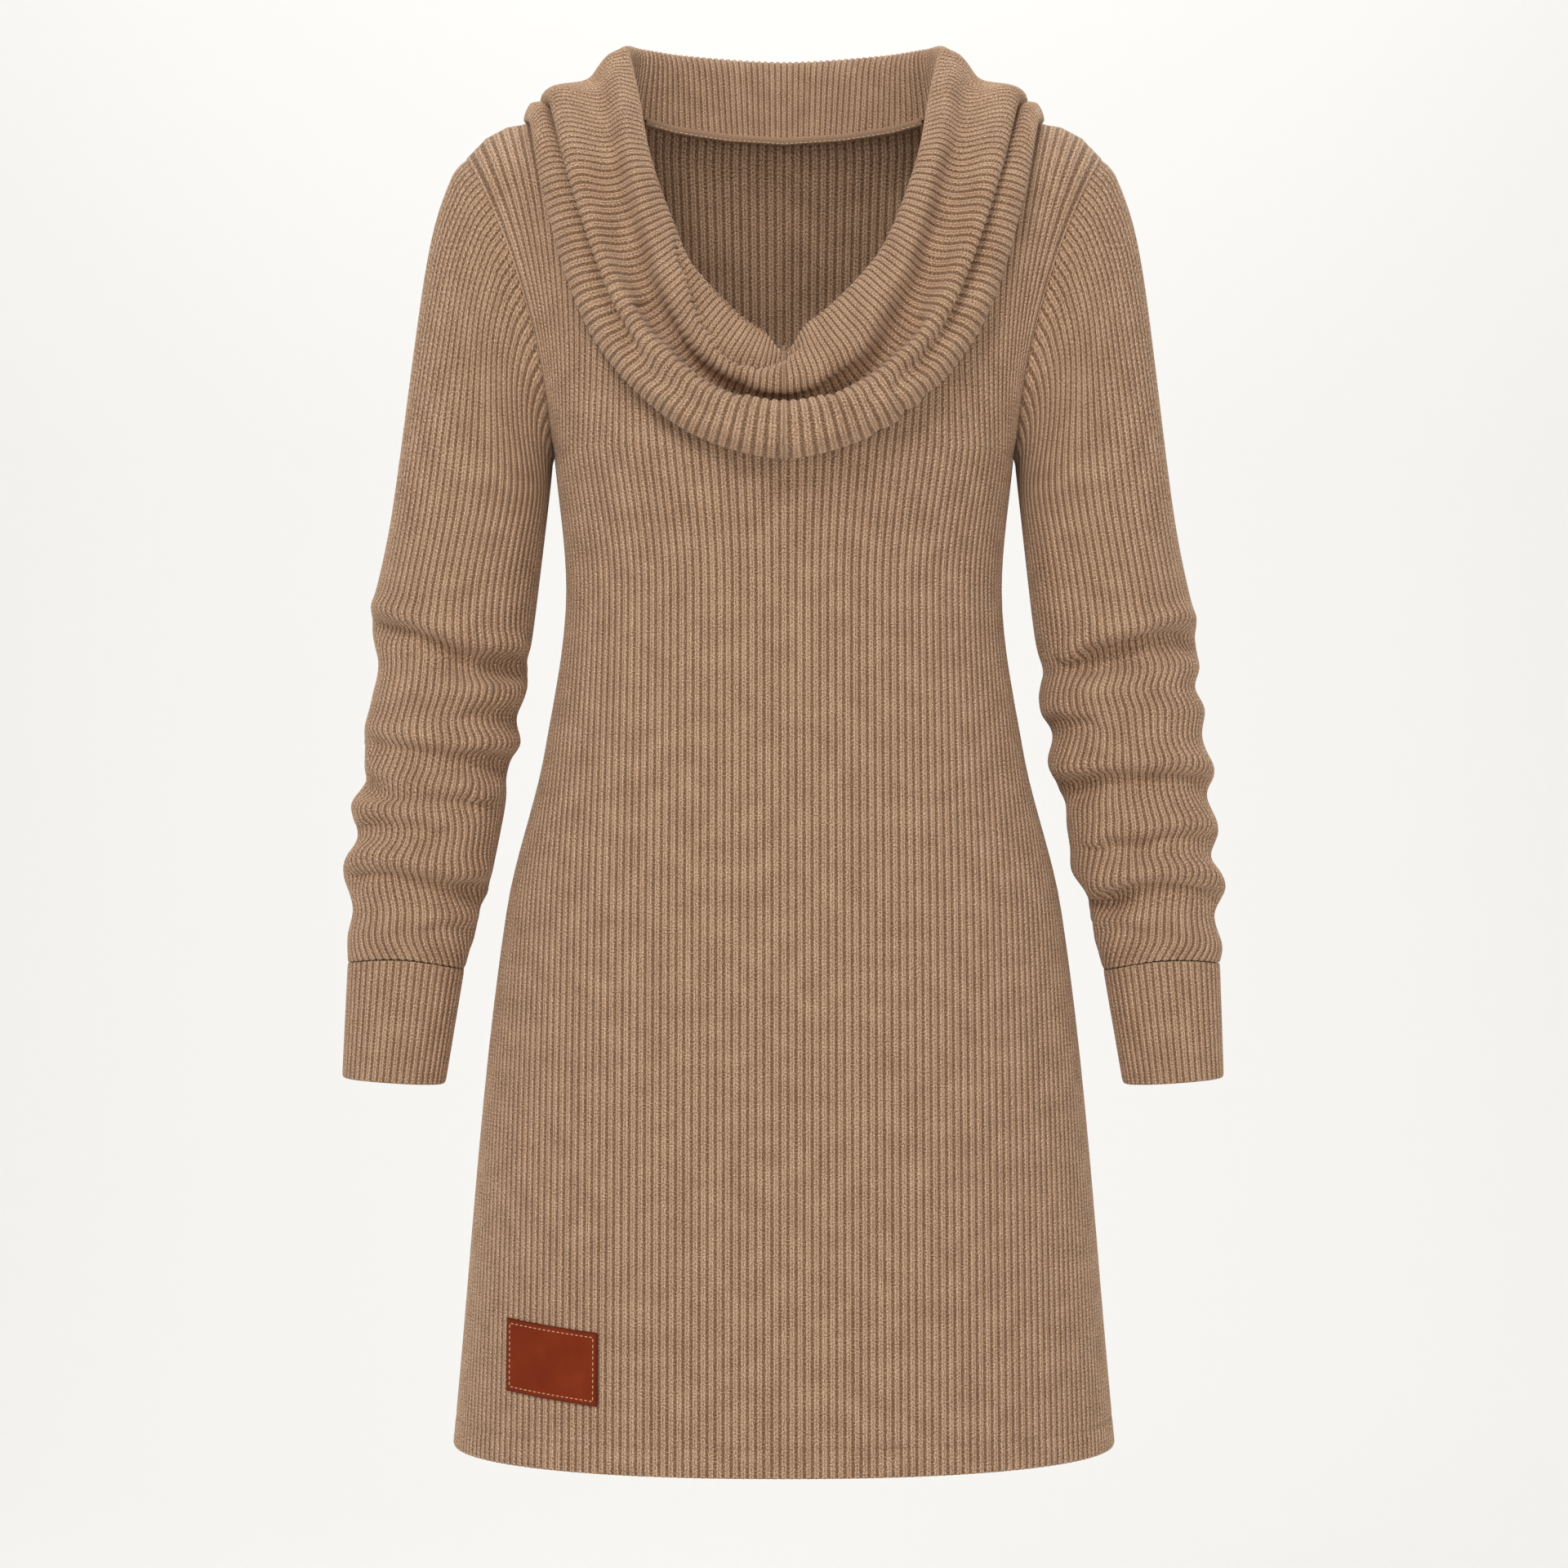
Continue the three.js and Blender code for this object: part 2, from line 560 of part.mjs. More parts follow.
function sleeve(name, rings, mirror) {
  const wall = new Wall();
  const outer = [];
  const inner = [];
  const columnsAt = (ring) => polylineLength(halfRing(ring, 1).points) / HALF_PITCH;
  rings.forEach((ring, i) => {
    const last = i < BICEPS_RING ? Math.round(columnsAt(rings[BICEPS_RING])) : columnsAt(ring);
    const shift = vec(0, 0, 0);
    if (i === 0 || i === rings.length - 1) {
      shift.copy(ringNormal(ring)).multiplyScalar(i === 0 ? HALF_GAP : -HALF_GAP);
    }
    const keys = columnKeys(last);
    outer.push(ringRow(wall, ring, keys, last, (key) => ribDepth(key, last), shift, mirror));
    const plain = innerKeys(i === 0);
    inner.push(ringRow(wall, ring, plain, 1, () => WALL, shift, mirror));
  });
  wall.fill(outer, inner, true);
  return wall.mesh(name, KNIT);
}

function cuff(name, top, bottom, mirror) {
  const wall = new Wall();
  const girth = polylineLength(halfRing(top, 1).points);
  const last = Math.round(girth / (CUFF_RIB_PITCH / 2));
  const keys = columnKeys(last);
  const down = ringNormal(top);
  const rows = [
    { ring: top, shift: down.clone().multiplyScalar(HALF_GAP), sink: 0 },
    { ring: bottom, shift: vec(0, 0, CUFF_FOLD), sink: 0 },
    { ring: bottom, shift: vec(0, 0, 0), sink: CUFF_FOLD },
  ];
  const outer = rows.map(({ ring, shift, sink }) =>
    ringRow(wall, ring, keys, last, (key) => (sink || ribDepth(key, last)), shift, mirror));
  const plain = innerKeys(false);
  const inner = rows.map(({ ring, shift, sink }) =>
    ringRow(wall, ring, plain, 1, () => WALL + sink, shift, mirror));
  wall.fill(outer, inner, true);
  return wall.mesh(name, KNIT);
}

// Neckline of the right half, from the front centre past the neck point to the back centre.
const NECK_LOOP = [...necklinePoints(-1), ...necklinePoints(1).slice(0, -1).reverse()];

// A smooth closed line round the neck through one column of the cowl's table and its mirror image.
function cowlLine(name) {
  const right = COWL_SECTIONS.map((section) => vec(...section[name]));
  const left = right.slice(1, -1).reverse().map((point) => vec(-point.x, point.y, point.z));
  return new THREE.CatmullRomCurve3([...right, ...left], true, "catmullrom", 0.5);
}

function neckShareAt(turn) {
  const place = turn * (COWL_SECTIONS.length - 1);
  const i = Math.min(COWL_SECTIONS.length - 2, Math.floor(place));
  return lerp(COWL_SECTIONS[i].neck, COWL_SECTIONS[i + 1].neck, place - i);
}

// Section across the cowl at a turn from 0 to 1, from the seam on the neckline out to the hem.
function cowlSection(lines, turn) {
  const half = turn <= 0.5 ? turn * 2 : (1 - turn) * 2;
  const sign = turn <= 0.5 ? 1 : -1;
  const share = neckShareAt(half);
  const seam = alongPolyline(NECK_LOOP, share).point;
  const inward = necklineInward(seam);
  const ahead = alongPolyline(NECK_LOOP, Math.min(1, share + NECK_SLOPE_STEP)).point;
  const behind = alongPolyline(NECK_LOOP, Math.max(0, share - NECK_SLOPE_STEP)).point;
  const away = ahead.sub(behind).cross(inward).normalize().multiplyScalar(COWL_SEAM_GAP);
  const plainStart = seam.clone().add(away);
  const start = plainStart.clone().addScaledVector(inward, WALL);
  start.x *= sign;
  plainStart.x *= sign;
  return { points: [start, ...lines.map((line) => line.getPoint(turn))], plainStart };
}

// Turns at which columns stand, an even distance apart along the trough.
function evenTurns(line, count) {
  const table = Array.from({ length: TURN_STEPS + 1 }, (_, i) => line.getPoint(i / TURN_STEPS));
  return Array.from({ length: count + 1 }, (_, i) => {
    const { index, t } = alongPolyline(table, i / count);
    return (index + t) / TURN_STEPS;
  });
}

// Directions from the ribbed face into the cloth at each point of a section, mitred at its bends.
function cowlInwards(lines, turn, section) {
  const before = cowlSection(lines, (turn - TURN_SLOPE_STEP + 1) % 1).points;
  const after = cowlSection(lines, (turn + TURN_SLOPE_STEP) % 1).points;
  const { points } = section;
  const normals = points.slice(1).map((point, i) => {
    const round = after[i].clone().sub(before[i]).add(after[i + 1]).sub(before[i + 1]);
    return round.cross(point.clone().sub(points[i])).normalize();
  });
  return points.map((_, i) => {
    const first = normals[Math.max(0, i - 1)];
    const second = normals[Math.min(normals.length - 1, i)];
    const sum = first.clone().add(second).normalize();
    return sum.divideScalar(Math.max(sum.dot(first), 1 / MITRE_LIMIT));
  });
}

function cowl(name) {
  const wall = new Wall();
  const lines = COWL_LINES.map(cowlLine);
  const troughLine = lines[COWL_LINES.indexOf("trough")];
  const columns = 2 * COWL_RIBS;
  const ribbed = Array.from({ length: COWL_LINES.length + 1 }, () => []);
  const plain = Array.from({ length: COWL_LINES.length + 1 }, () => []);
  evenTurns(troughLine, columns).forEach((turn, i) => {
    const section = cowlSection(lines, turn);
    const inwards = cowlInwards(lines, turn, section);
    section.points.forEach((point, j) => {
      const depth = i % 2 && j ? RIB_HEIGHT : 0;
      ribbed[j].push(point.clone().addScaledVector(inwards[j], depth));
    });
  });
  evenTurns(troughLine, 2 * COWL_INNER_COLUMNS).forEach((turn) => {
    const section = cowlSection(lines, turn);
    const inwards = cowlInwards(lines, turn, section);
    section.points.forEach((point, j) => {
      plain[j].push(j ? point.clone().addScaledVector(inwards[j], WALL) : section.plainStart);
    });
  });
  const keysOf = (row) => row.map((_, i) => i / (row.length - 1));
  const outer = ribbed.map((row) => wall.row(row, keysOf(row), true));
  const inner = plain.map((row) => wall.row(row, keysOf(row), true));
  wall.fill(outer, inner, true);
  return wall.mesh(name, KNIT);
}

// A strip or plate from a grid of outer points and the grid of points under them.
function plate(name, outerRows, innerRows, look) {
  const wall = new Wall();
  const keys = outerRows[0].map((_, i) => i + 1);
  const outer = outerRows.map((row) => wall.row(row, keys, false));
  const inner = innerRows.map((row) => wall.row(row, keys, false));
  wall.fill(outer, inner, false);
  return wall.mesh(name, look);
}

function neckBinding(name) {
  const surface = yokeSurface(1);
  const grid = (depth) => [-BINDING.height / 2, BINDING.height / 2].map((rise) =>
    Array.from({ length: BINDING.columns + 1 }, (_, i) => {
      const x = BINDING.halfWidth * ((2 * i) / BINDING.columns - 1);
      const point = vec(Math.abs(x), 0, tableAt(BACK_NECKLINE, "x", Math.abs(x), "z"));
      point.y = surface(point.x, point.z);
      const inward = necklineInward(point);
      point.addScaledVector(inward, WALL + BINDING.clear + depth);
      return vec(Math.sign(x) * point.x, point.y, point.z + rise);
    }));
  return plate(name, grid(BINDING.thickness), grid(0), KNIT);
}

// The front's outer surface in the skirt, at a height between two of its sections.
function skirtPoint(x, z, outward) {
  const row = BODY_SECTIONS.findIndex((section) => section.z > z) - 1;
  const t = (z - BODY_SECTIONS[row].z) / (BODY_SECTIONS[row + 1].z - BODY_SECTIONS[row].z);
  const halfWidth = lerp(BODY_SECTIONS[row].halfWidth, BODY_SECTIONS[row + 1].halfWidth, t);
  const depth = lerp(BODY_SECTIONS[row].front, BODY_SECTIONS[row + 1].front, t);
  const yAt = (w) => depth * (1 - (Math.abs(w) / halfWidth) ** ROUNDNESS) ** (1 / ROUNDNESS);
  const normal = vec(yAt(x - SLOPE_STEP) - yAt(x + SLOPE_STEP), -2 * SLOPE_STEP, 0).normalize();
  return vec(x, -yAt(x), z).addScaledVector(normal, outward);
}

function leatherPatch(name) {
  const grid = (outward) => [0, 1].map((down) =>
    Array.from({ length: PATCH.steps + 1 }, (_, i) => {
      const x = lerp(PATCH.fromX, PATCH.toX, i / PATCH.steps);
      const z = PATCH.topZ - down * PATCH.height - PATCH.tilt * (x - PATCH.fromX);
      return skirtPoint(x, z, outward);
    }));
  return plate(name, grid(PATCH.clear + PATCH.thickness), grid(PATCH.clear), LEATHER);
}

const dress = new THREE.Group();
dress.add(
  panel("front", PANELS.front, -1),
  panel("back", PANELS.back, 1),
  sleeve("sleeve_left", SLEEVE_LEFT, -1),
  sleeve("sleeve_right", SLEEVE_RIGHT, 1),
  cuff("cuff_left", SLEEVE_LEFT.at(-1), CUFF_BOTTOM.left, -1),
  cuff("cuff_right", SLEEVE_RIGHT.at(-1), CUFF_BOTTOM.right, 1),
  cowl("cowl_collar"),
  neckBinding("neck_binding"),
  leatherPatch("leather_patch"),
);

export default dress;
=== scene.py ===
"""A long-sleeved sweater dress in rib knit with a wide cowl collar, filled out as if worn.

Every table is in millimetres in the part's frame: +Z up, the front of the dress faces -Y, and the
origin lies between the shoulders. The meshes are made in metres.
"""

import math

import bmesh
import bpy
import numpy as np
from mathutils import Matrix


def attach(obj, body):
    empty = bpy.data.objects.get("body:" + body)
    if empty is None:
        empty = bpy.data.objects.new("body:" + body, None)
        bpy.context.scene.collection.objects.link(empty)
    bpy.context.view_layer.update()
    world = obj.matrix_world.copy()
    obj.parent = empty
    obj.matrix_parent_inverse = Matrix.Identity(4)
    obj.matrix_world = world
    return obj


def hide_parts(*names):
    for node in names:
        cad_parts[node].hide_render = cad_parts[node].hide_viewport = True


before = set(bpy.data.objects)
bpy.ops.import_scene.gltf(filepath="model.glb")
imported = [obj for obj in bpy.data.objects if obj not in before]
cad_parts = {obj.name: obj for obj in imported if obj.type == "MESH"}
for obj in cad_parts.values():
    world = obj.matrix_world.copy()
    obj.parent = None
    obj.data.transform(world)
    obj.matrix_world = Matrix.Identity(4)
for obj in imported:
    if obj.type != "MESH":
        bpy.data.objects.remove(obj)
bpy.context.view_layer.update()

# Rib knit. The whole dress is knitted in one heathered wool yarn, two raised wales to a rib with a deep
# groove between ribs. The cloth is a corrugated sheet: a groove on one face is a ridge on the other.
RIB_PITCH = 4.9
POINTS_PER_RIB = 5
COLUMN = RIB_PITCH / POINTS_PER_RIB
RIB_DEPTH = 1.15
CLOTH = 2.5
STITCH_LENGTH = 2.4


def rib_depth(phase):
    """Depth below a crest at a phase counted in ribs: half a cosine wave, made flat on top by a power."""
    return RIB_DEPTH * (0.5 - 0.5 * np.cos(2 * np.pi * phase)) ** 1.5


def new_material(name, roughness, sheen, sheen_tint):
    """A plain material and its shader, with roughness and a soft sheen set as constants."""
    material = bpy.data.materials.new(name)
    material.use_nodes = True
    shader = material.node_tree.nodes["Principled BSDF"]
    shader.inputs["Roughness"].default_value = roughness
    shader.inputs["Specular IOR Level"].default_value = 0.25
    shader.inputs["Sheen Weight"].default_value = sheen
    shader.inputs["Sheen Roughness"].default_value = 0.5
    shader.inputs["Sheen Tint"].default_value = (*sheen_tint, 1)
    return material, shader


def math_node(tree, operation, a, b=None):
    """A math node fed by sockets or numbers."""
    node = tree.nodes.new("ShaderNodeMath")
    node.operation = operation
    for socket, value in zip(node.inputs, (a, b)):
        if isinstance(value, (int, float)):
            socket.default_value = value
        elif value is not None:
            tree.links.new(value, socket)
    return node.outputs[0]


def colour_ramp(tree, factor, stops):
    """A colour ramp fed by a socket, with stops of (position, colour)."""
    node = tree.nodes.new("ShaderNodeValToRGB")
    tree.links.new(factor, node.inputs[0])
    ramp = node.color_ramp
    for position, colour in stops[2:]:
        ramp.elements.new(position)
    for element, (position, colour) in zip(ramp.elements, stops):
        element.position = position
        element.color = (*colour, 1)
    return node.outputs[0]


def noise(tree, vector, scale, detail, stretch=(1, 1, 1)):
    """Noise over a vector that is stretched first."""
    mapping = tree.nodes.new("ShaderNodeMapping")
    mapping.inputs["Scale"].default_value = stretch
    tree.links.new(vector, mapping.inputs["Vector"])
    node = tree.nodes.new("ShaderNodeTexNoise")
    node.inputs["Scale"].default_value = scale
    node.inputs["Detail"].default_value = detail
    tree.links.new(mapping.outputs[0], node.inputs["Vector"])
    return node.outputs[0]


def mix_colour(tree, blend, factor, a, b):
    """Two colours mixed; each may be a socket or a plain colour."""
    node = tree.nodes.new("ShaderNodeMix")
    node.data_type = "RGBA"
    node.blend_type = blend
    for socket, value in zip((node.inputs[0], node.inputs[6], node.inputs[7]), (factor, a, b)):
        if isinstance(value, bpy.types.NodeSocket):
            tree.links.new(value, socket)
        elif isinstance(value, tuple):
            socket.default_value = (*value, 1)
        else:
            socket.default_value = value
    return node.outputs[2]


# Yarn colours. The dark one serves both as the heather's dark flecks and as painted shade in the grooves
# between ribs.
YARN_DARK_AND_GROOVE_SHADE = (0.155, 0.080, 0.041)
YARN_MIDDLE = (0.43, 0.262, 0.157)
YARN_LIGHT = (0.83, 0.58, 0.40)


def knit_material():
    """The yarn's colour follows the cloth's own map, in ribs across and millimetres along: light on the two
    wales of a rib, painted shade that darkens the groove, a slanted stitch pattern and the flecks of heathered
    wool."""
    material, shader = new_material("Heathered rib knit", 0.92, 0.35, (0.85, 0.72, 0.6))
    tree = material.node_tree
    uv = tree.nodes.new("ShaderNodeUVMap")
    uv.uv_map = "ribs"
    split = tree.nodes.new("ShaderNodeSeparateXYZ")
    tree.links.new(uv.outputs[0], split.inputs[0])
    off_crest = math_node(tree, "PINGPONG", split.outputs[0], 0.5)
    across = math_node(tree, "MULTIPLY", off_crest, 2)
    # Painted shade: this ramp darkens the groove between ribs beyond the shade its depth casts. The light on
    # the two wales is the yarn's own pattern.
    wales_and_groove_shade = colour_ramp(tree, across, [
        (0.0, (0.5, 0.5, 0.5)), (0.14, (0.56, 0.56, 0.56)), (0.34, (1.0, 1.0, 1.0)),
        (0.52, (0.74, 0.74, 0.74)), (0.7, (0.2, 0.2, 0.2)), (1.0, (0.08, 0.08, 0.08)),
    ])
    flecks = noise(tree, uv.outputs[0], 1.0, 2, (6.5, 1.1, 1))
    blotches = noise(tree, uv.outputs[0], 1.0, 2, (0.28, 0.06, 1))
    slant = math_node(tree, "ADD", math_node(tree, "MULTIPLY", split.outputs[1], 2 * math.pi / STITCH_LENGTH),
                      math_node(tree, "MULTIPLY", across, 5.0))
    stitches = math_node(tree, "SINE", slant)
    light = math_node(tree, "ADD", math_node(tree, "MULTIPLY", wales_and_groove_shade, 0.62),
                      math_node(tree, "MULTIPLY", math_node(tree, "SUBTRACT", flecks, 0.5), 2.2))
    light = math_node(tree, "ADD", light, math_node(tree, "MULTIPLY", stitches, 0.07))
    light = math_node(tree, "ADD", light, math_node(tree, "MULTIPLY",
                      math_node(tree, "SUBTRACT", blotches, 0.5), 0.35))
    colour = colour_ramp(tree, light, [(0.0, YARN_DARK_AND_GROOVE_SHADE), (0.42, YARN_MIDDLE), (1.0, YARN_LIGHT)])
    tree.links.new(colour, shader.inputs["Base Color"])
    height = math_node(tree, "ADD", math_node(tree, "MULTIPLY", flecks, 0.8),
                       math_node(tree, "MULTIPLY", stitches, 0.25))
    bump = tree.nodes.new("ShaderNodeBump")
    bump.inputs["Strength"].default_value = 0.6
    bump.inputs["Distance"].default_value = 0.0006
    tree.links.new(height, bump.inputs["Height"])
    tree.links.new(bump.outputs[0], shader.inputs["Normal"])
    return material


KNIT = knit_material()


def glide(places, values, at):
    """Values between the rows of a table: cubic pieces through every row whose slopes never overshoot."""
    x, y, at = np.asarray(places, float), np.asarray(values, float), np.asarray(at, float)
    step = np.diff(x)
    rise = np.diff(y) / step
    slope = np.concatenate([rise[:1], np.zeros(len(x) - 2), rise[-1:]])
    same = rise[:-1] * rise[1:] > 0
    near, far = 2 * step[1:] + step[:-1], step[1:] + 2 * step[:-1]
    with np.errstate(divide="ignore", invalid="ignore"):
        mean = (near + far) / (near / rise[:-1] + far / rise[1:])
    slope[1:-1] = np.where(same, mean, 0)
    i = np.clip(np.searchsorted(x, at, side="right") - 1, 0, len(step) - 1)
    t = np.clip((at - x[i]) / step[i], 0, 1)
    return (y[i] * (1 + 2 * t) * (1 - t) ** 2 + y[i + 1] * t * t * (3 - 2 * t)
            + step[i] * (slope[i] * t * (1 - t) ** 2 + slope[i + 1] * t * t * (t - 1)))


def ease(low, high, at):
    """0 below low and 1 above high, with a smooth step between."""
    t = np.clip((at - low) / (high - low), 0, 1)
    return t * t * (3 - 2 * t)


def unit(vectors):
    """Vectors of length one."""
    return vectors / np.maximum(np.linalg.norm(vectors, axis=-1, keepdims=True), 1e-9)


def put_mesh(name, points, faces, sizes, uv, material):
    """A smooth-shaded object from points in millimetres, faces as one run of corners with each face's
    size, and a place on the map for every corner."""
    mesh = bpy.data.meshes.new(name)
    mesh.vertices.add(len(points))
    mesh.vertices.foreach_set("co", (points / 1000).astype(np.float32).ravel())
    mesh.loops.add(len(faces))
    mesh.loops.foreach_set("vertex_index", faces.astype(np.int32))
    mesh.polygons.add(len(sizes))
    starts = np.concatenate([[0], np.cumsum(sizes)[:-1]])
    mesh.polygons.foreach_set("loop_start", starts.astype(np.int32))
    mesh.polygons.foreach_set("use_smooth", np.ones(len(sizes), bool))
    mesh.update(calc_edges=True)
    layer = mesh.uv_layers.new(name="ribs")
    layer.data.foreach_set("uv", uv.astype(np.float32).ravel())
    grid = bmesh.new()
    grid.from_mesh(mesh)
    bmesh.ops.remove_doubles(grid, verts=grid.verts, dist=1e-6)
    grid.to_mesh(mesh)
    grid.free()
    mesh.set_sharp_from_angle(angle=math.radians(80))
    mesh.materials.append(material)
    piece = bpy.data.objects.new(name, mesh)
    bpy.context.collection.objects.link(piece)
    return piece


def cloth_shell(name, outer, inner, outer_uv, inner_uv, tube=False, rounded=(False, False), material=None):
    """A closed sheet from two grids of rows and columns, the outer and the inner face. A loop runs up the
    outer rows and down the inner ones, with a row between them where an end is rounded like a fold. A
    tube's columns close on themselves, and any other sheet gets a strip along its two sides. The maps have
    one column more than a tube's points."""
    loop, maps, turn = [outer], [outer_uv], len(outer)
    for end, near, order in ((1, -1, -2), (0, 0, 1)):
        if end == 0:
            loop.append(inner[::-1])
            maps.append(inner_uv[::-1])
        if rounded[end]:
            middle = (outer[near] + inner[near]) / 2
            thick = np.linalg.norm(outer[near] - inner[near], axis=-1, keepdims=True)
            away = unit(outer[near] - outer[order])
            loop.append((middle + away * thick * 0.45)[None])
            maps.append(((outer_uv[near] + inner_uv[near]) / 2)[None])
    points, uv = np.concatenate(loop), np.concatenate(maps)
    rows, columns = points.shape[:2]
    r, c = np.meshgrid(np.arange(rows), np.arange(columns if tube else columns - 1), indexing="ij")
    corners = ((0, 0), (0, 1), (1, 1), (1, 0))
    quads = np.stack([(r + a) % rows * columns + (c + b) % columns for a, b in corners], -1).reshape(-1, 4)
    places = np.stack([uv[(r + a) % rows, c + b] for a, b in corners], -2).reshape(-1, 4, 2)
    if not tube:
        back = rows - 1 - np.arange(rows)
        low = np.arange(turn - 1)
        for column, corner_rows in ((0, (low, low + 1, back[low + 1], back[low])),
                                    (columns - 1, (low, back[low], back[low + 1], low + 1))):
            strip = np.stack([q * columns + column for q in corner_rows], -1)
            quads = np.concatenate([quads, strip])
            places = np.concatenate([places, np.stack([uv[q, column] for q in corner_rows], -2)])
    flat = points.reshape(-1, 3)
    a, b, c, d = (flat[quads[:, k]] for k in range(4))
    volume = (np.cross(a, b) * c).sum() + (np.cross(a, c) * d).sum()
    if volume < 0:
        quads, places = quads[:, ::-1], places[:, ::-1]
    sizes = np.full(len(quads), 4)
    return put_mesh(name, flat, quads.ravel(), sizes, places.reshape(-1, 2), material or KNIT)


def outward(surface, rows, shares, middle, row_step, share_step=2e-3):
    """Unit normals of a surface given as a function of row places and shares round it, from differences on
    both sides, turned away from its middle line."""
    across = surface(rows, shares + share_step) - surface(rows, shares - share_step)
    along = surface(rows + row_step, shares) - surface(rows - row_step, shares)
    normals = unit(np.cross(across, along))
    away = surface(rows, shares) - middle
    return np.where((normals * away).sum(-1, keepdims=True) < 0, -normals, normals)


def from_line(points, line):
    """Distance of points from a line in x and z, and the offset in x and z from its nearest place. The line
    is run along piece by piece; offsets come with the direction of the piece that is nearest."""
    flat = points[..., (0, 2)]
    line = np.array(line, float)
    distance = np.full(flat.shape[:-1], np.inf)
    offset, direction = np.zeros(flat.shape), np.zeros(flat.shape)
    for start, end in zip(line[:-1], line[1:]):
        way = end - start
        t = np.clip(((flat - start) @ way) / (way @ way), 0, 1)[..., None]
        off = flat - start - t * way
        far = np.linalg.norm(off, axis=-1)
        closer = (far < distance)[..., None]
        offset, direction = np.where(closer, off, offset), np.where(closer, way, direction)
        distance = np.minimum(distance, far)
    return distance, offset, direction


def creased(points, normals, folds, weight, above, below, skew=1.0):
    """Points moved along their normals by folds, each a depth, a width and a line in x and z. The cloth
    sinks by a bell curve of the distance to the line, narrower above the line and wider below it by the
    skew, and swells beside it by shares of the depth, where it hangs over the line."""
    sunk = np.zeros(points.shape[:-1])
    for depth, width, line in folds:
        distance, offset, _ = from_line(points, line)
        far = distance * np.sign(offset[..., 1]) / width
        drop = np.where(far > 0, far * skew, far / skew)
        sunk += depth * (np.exp(-0.5 * drop ** 2) - above * np.exp(-((far - 2.1) / 1.3) ** 2)
                         - below * np.exp(-((far + 2.3) / 1.5) ** 2))
    return points - normals * (sunk * weight)[..., None]


# Body. Front and back are knitted panels that meet at the side seams and shoulder seams. Their ribs run
# straight down below the waist, where new ones start at the side seams, and fan with the armholes above it.
ROUNDNESS = 2.2
HALF_GAP = 0.15
BODY_SECTIONS = {
    "z": [-839, -500, -400, -298, -213],
    "half_width": [210, 176, 152, 138.5, 146],
    "front": [138, 111, 97, 92, 114],
    "back": [140, 119, 103, 84, 93],
}
YOKE_SECTIONS = {"z": [-213, -127, -61], "front": [114, 104, 86], "back": [93, 97, 90]}
WAIST_Z = -298
UNDERARM_Z = -213
ROUND_OVER_Z = -61
YOKE_ROWS = 200.0
SHOULDER_SEAM = {
    "x": [105, 135, 160, 177, 190, 202],
    "y": [18, 14, 10, 7, 4, 0],
    "z": [11, 6.5, 1.5, -2, -9.5, -23],
}
YOKE_RIDGE = {"x": [0, 60, *SHOULDER_SEAM["x"]], "y": [0, 8, *SHOULDER_SEAM["y"]],
              "z": [25, 20, *SHOULDER_SEAM["z"]]}
NECKLINE = {
    "front": {"x": [0, 30, 58, 78, 90, 98, 105], "z": [-170, -152, -117, -77, -40, -12, 11]},
    "back": {"x": [0, 40, 75, 95, 105], "z": [-2, 0, 4, 8, 11]},
}
NECK_SHARE = 0.58
ARMHOLE_PULL_POWER = 3
ARMHOLE = {"outer_x": 202, "outer_z": -23, "inner_x": 146, "inner_z": -213, "y": 0, "depth": 58, "bow": 12}
SHOULDER_WALL = 1.35
HEM_TURN = 18
SIDE = {"front": -1, "back": 1}
HEM_Z = BODY_SECTIONS["z"][0]
YOKE_RUN = 190
ARMHOLE_AXIS = (-190.0, 0, 56)


def ring_angle(share):
    """Angle on a ring at a share of the way from its underarm point to its outer point."""
    along = 2 * share - 1
    return np.arccos(np.clip(np.sign(along) * np.abs(along) ** (ROUNDNESS / 2), -1, 1))


def ring_point(ring, angle, side):
    """Point of a ring that lies between an outer and an underarm point: a squarish ellipse in that plane,
    deep to front and back, whose middle bows towards the chest."""
    power = 2 / ROUNDNESS
    along = np.sign(np.cos(angle)) * np.abs(np.cos(angle)) ** power
    across = np.maximum(0, np.sin(angle)) ** power
    up = (1 + along) / 2
    x = ring["inner_x"] + (ring["outer_x"] - ring["inner_x"]) * up - ring["bow"] * np.sin(angle) ** 2
    y = ring["y"] + side * ring["depth"] * across
    z = ring["inner_z"] + (ring["outer_z"] - ring["inner_z"]) * up
    return np.stack(np.broadcast_arrays(x, y, z), -1)


def yoke_depth(which, x, z):
    """y of the yoke over x and z: an oval through the armhole seam at each height, which rounds over to the
    shoulder line above the last section."""
    side = SIDE[which]
    level = np.minimum(z, ROUND_OVER_Z)
    depth = glide(YOKE_SECTIONS["z"], YOKE_SECTIONS[which], level)
    share = np.clip((level - UNDERARM_Z) / (ARMHOLE["outer_z"] - UNDERARM_Z), 0, 1)
    edge = ring_point(ARMHOLE, ring_angle(share), side)
    fall = 1 - np.minimum(0.999, np.abs(edge[..., 1]) / depth) ** ROUNDNESS
    half_width = edge[..., 0] / fall ** (1 / ROUNDNESS)
    oval = side * depth * np.maximum(0, 1 - np.abs(x / half_width) ** ROUNDNESS) ** (1 / ROUNDNESS)
    top_y = np.interp(x, YOKE_RIDGE["x"], YOKE_RIDGE["y"])
    top_z = np.interp(x, YOKE_RIDGE["x"], YOKE_RIDGE["z"])
    rise = np.clip((z - ROUND_OVER_Z) / (top_z - ROUND_OVER_Z), 0, 1)
    return top_y + (oval - top_y) * np.sqrt(1 - rise ** 2)


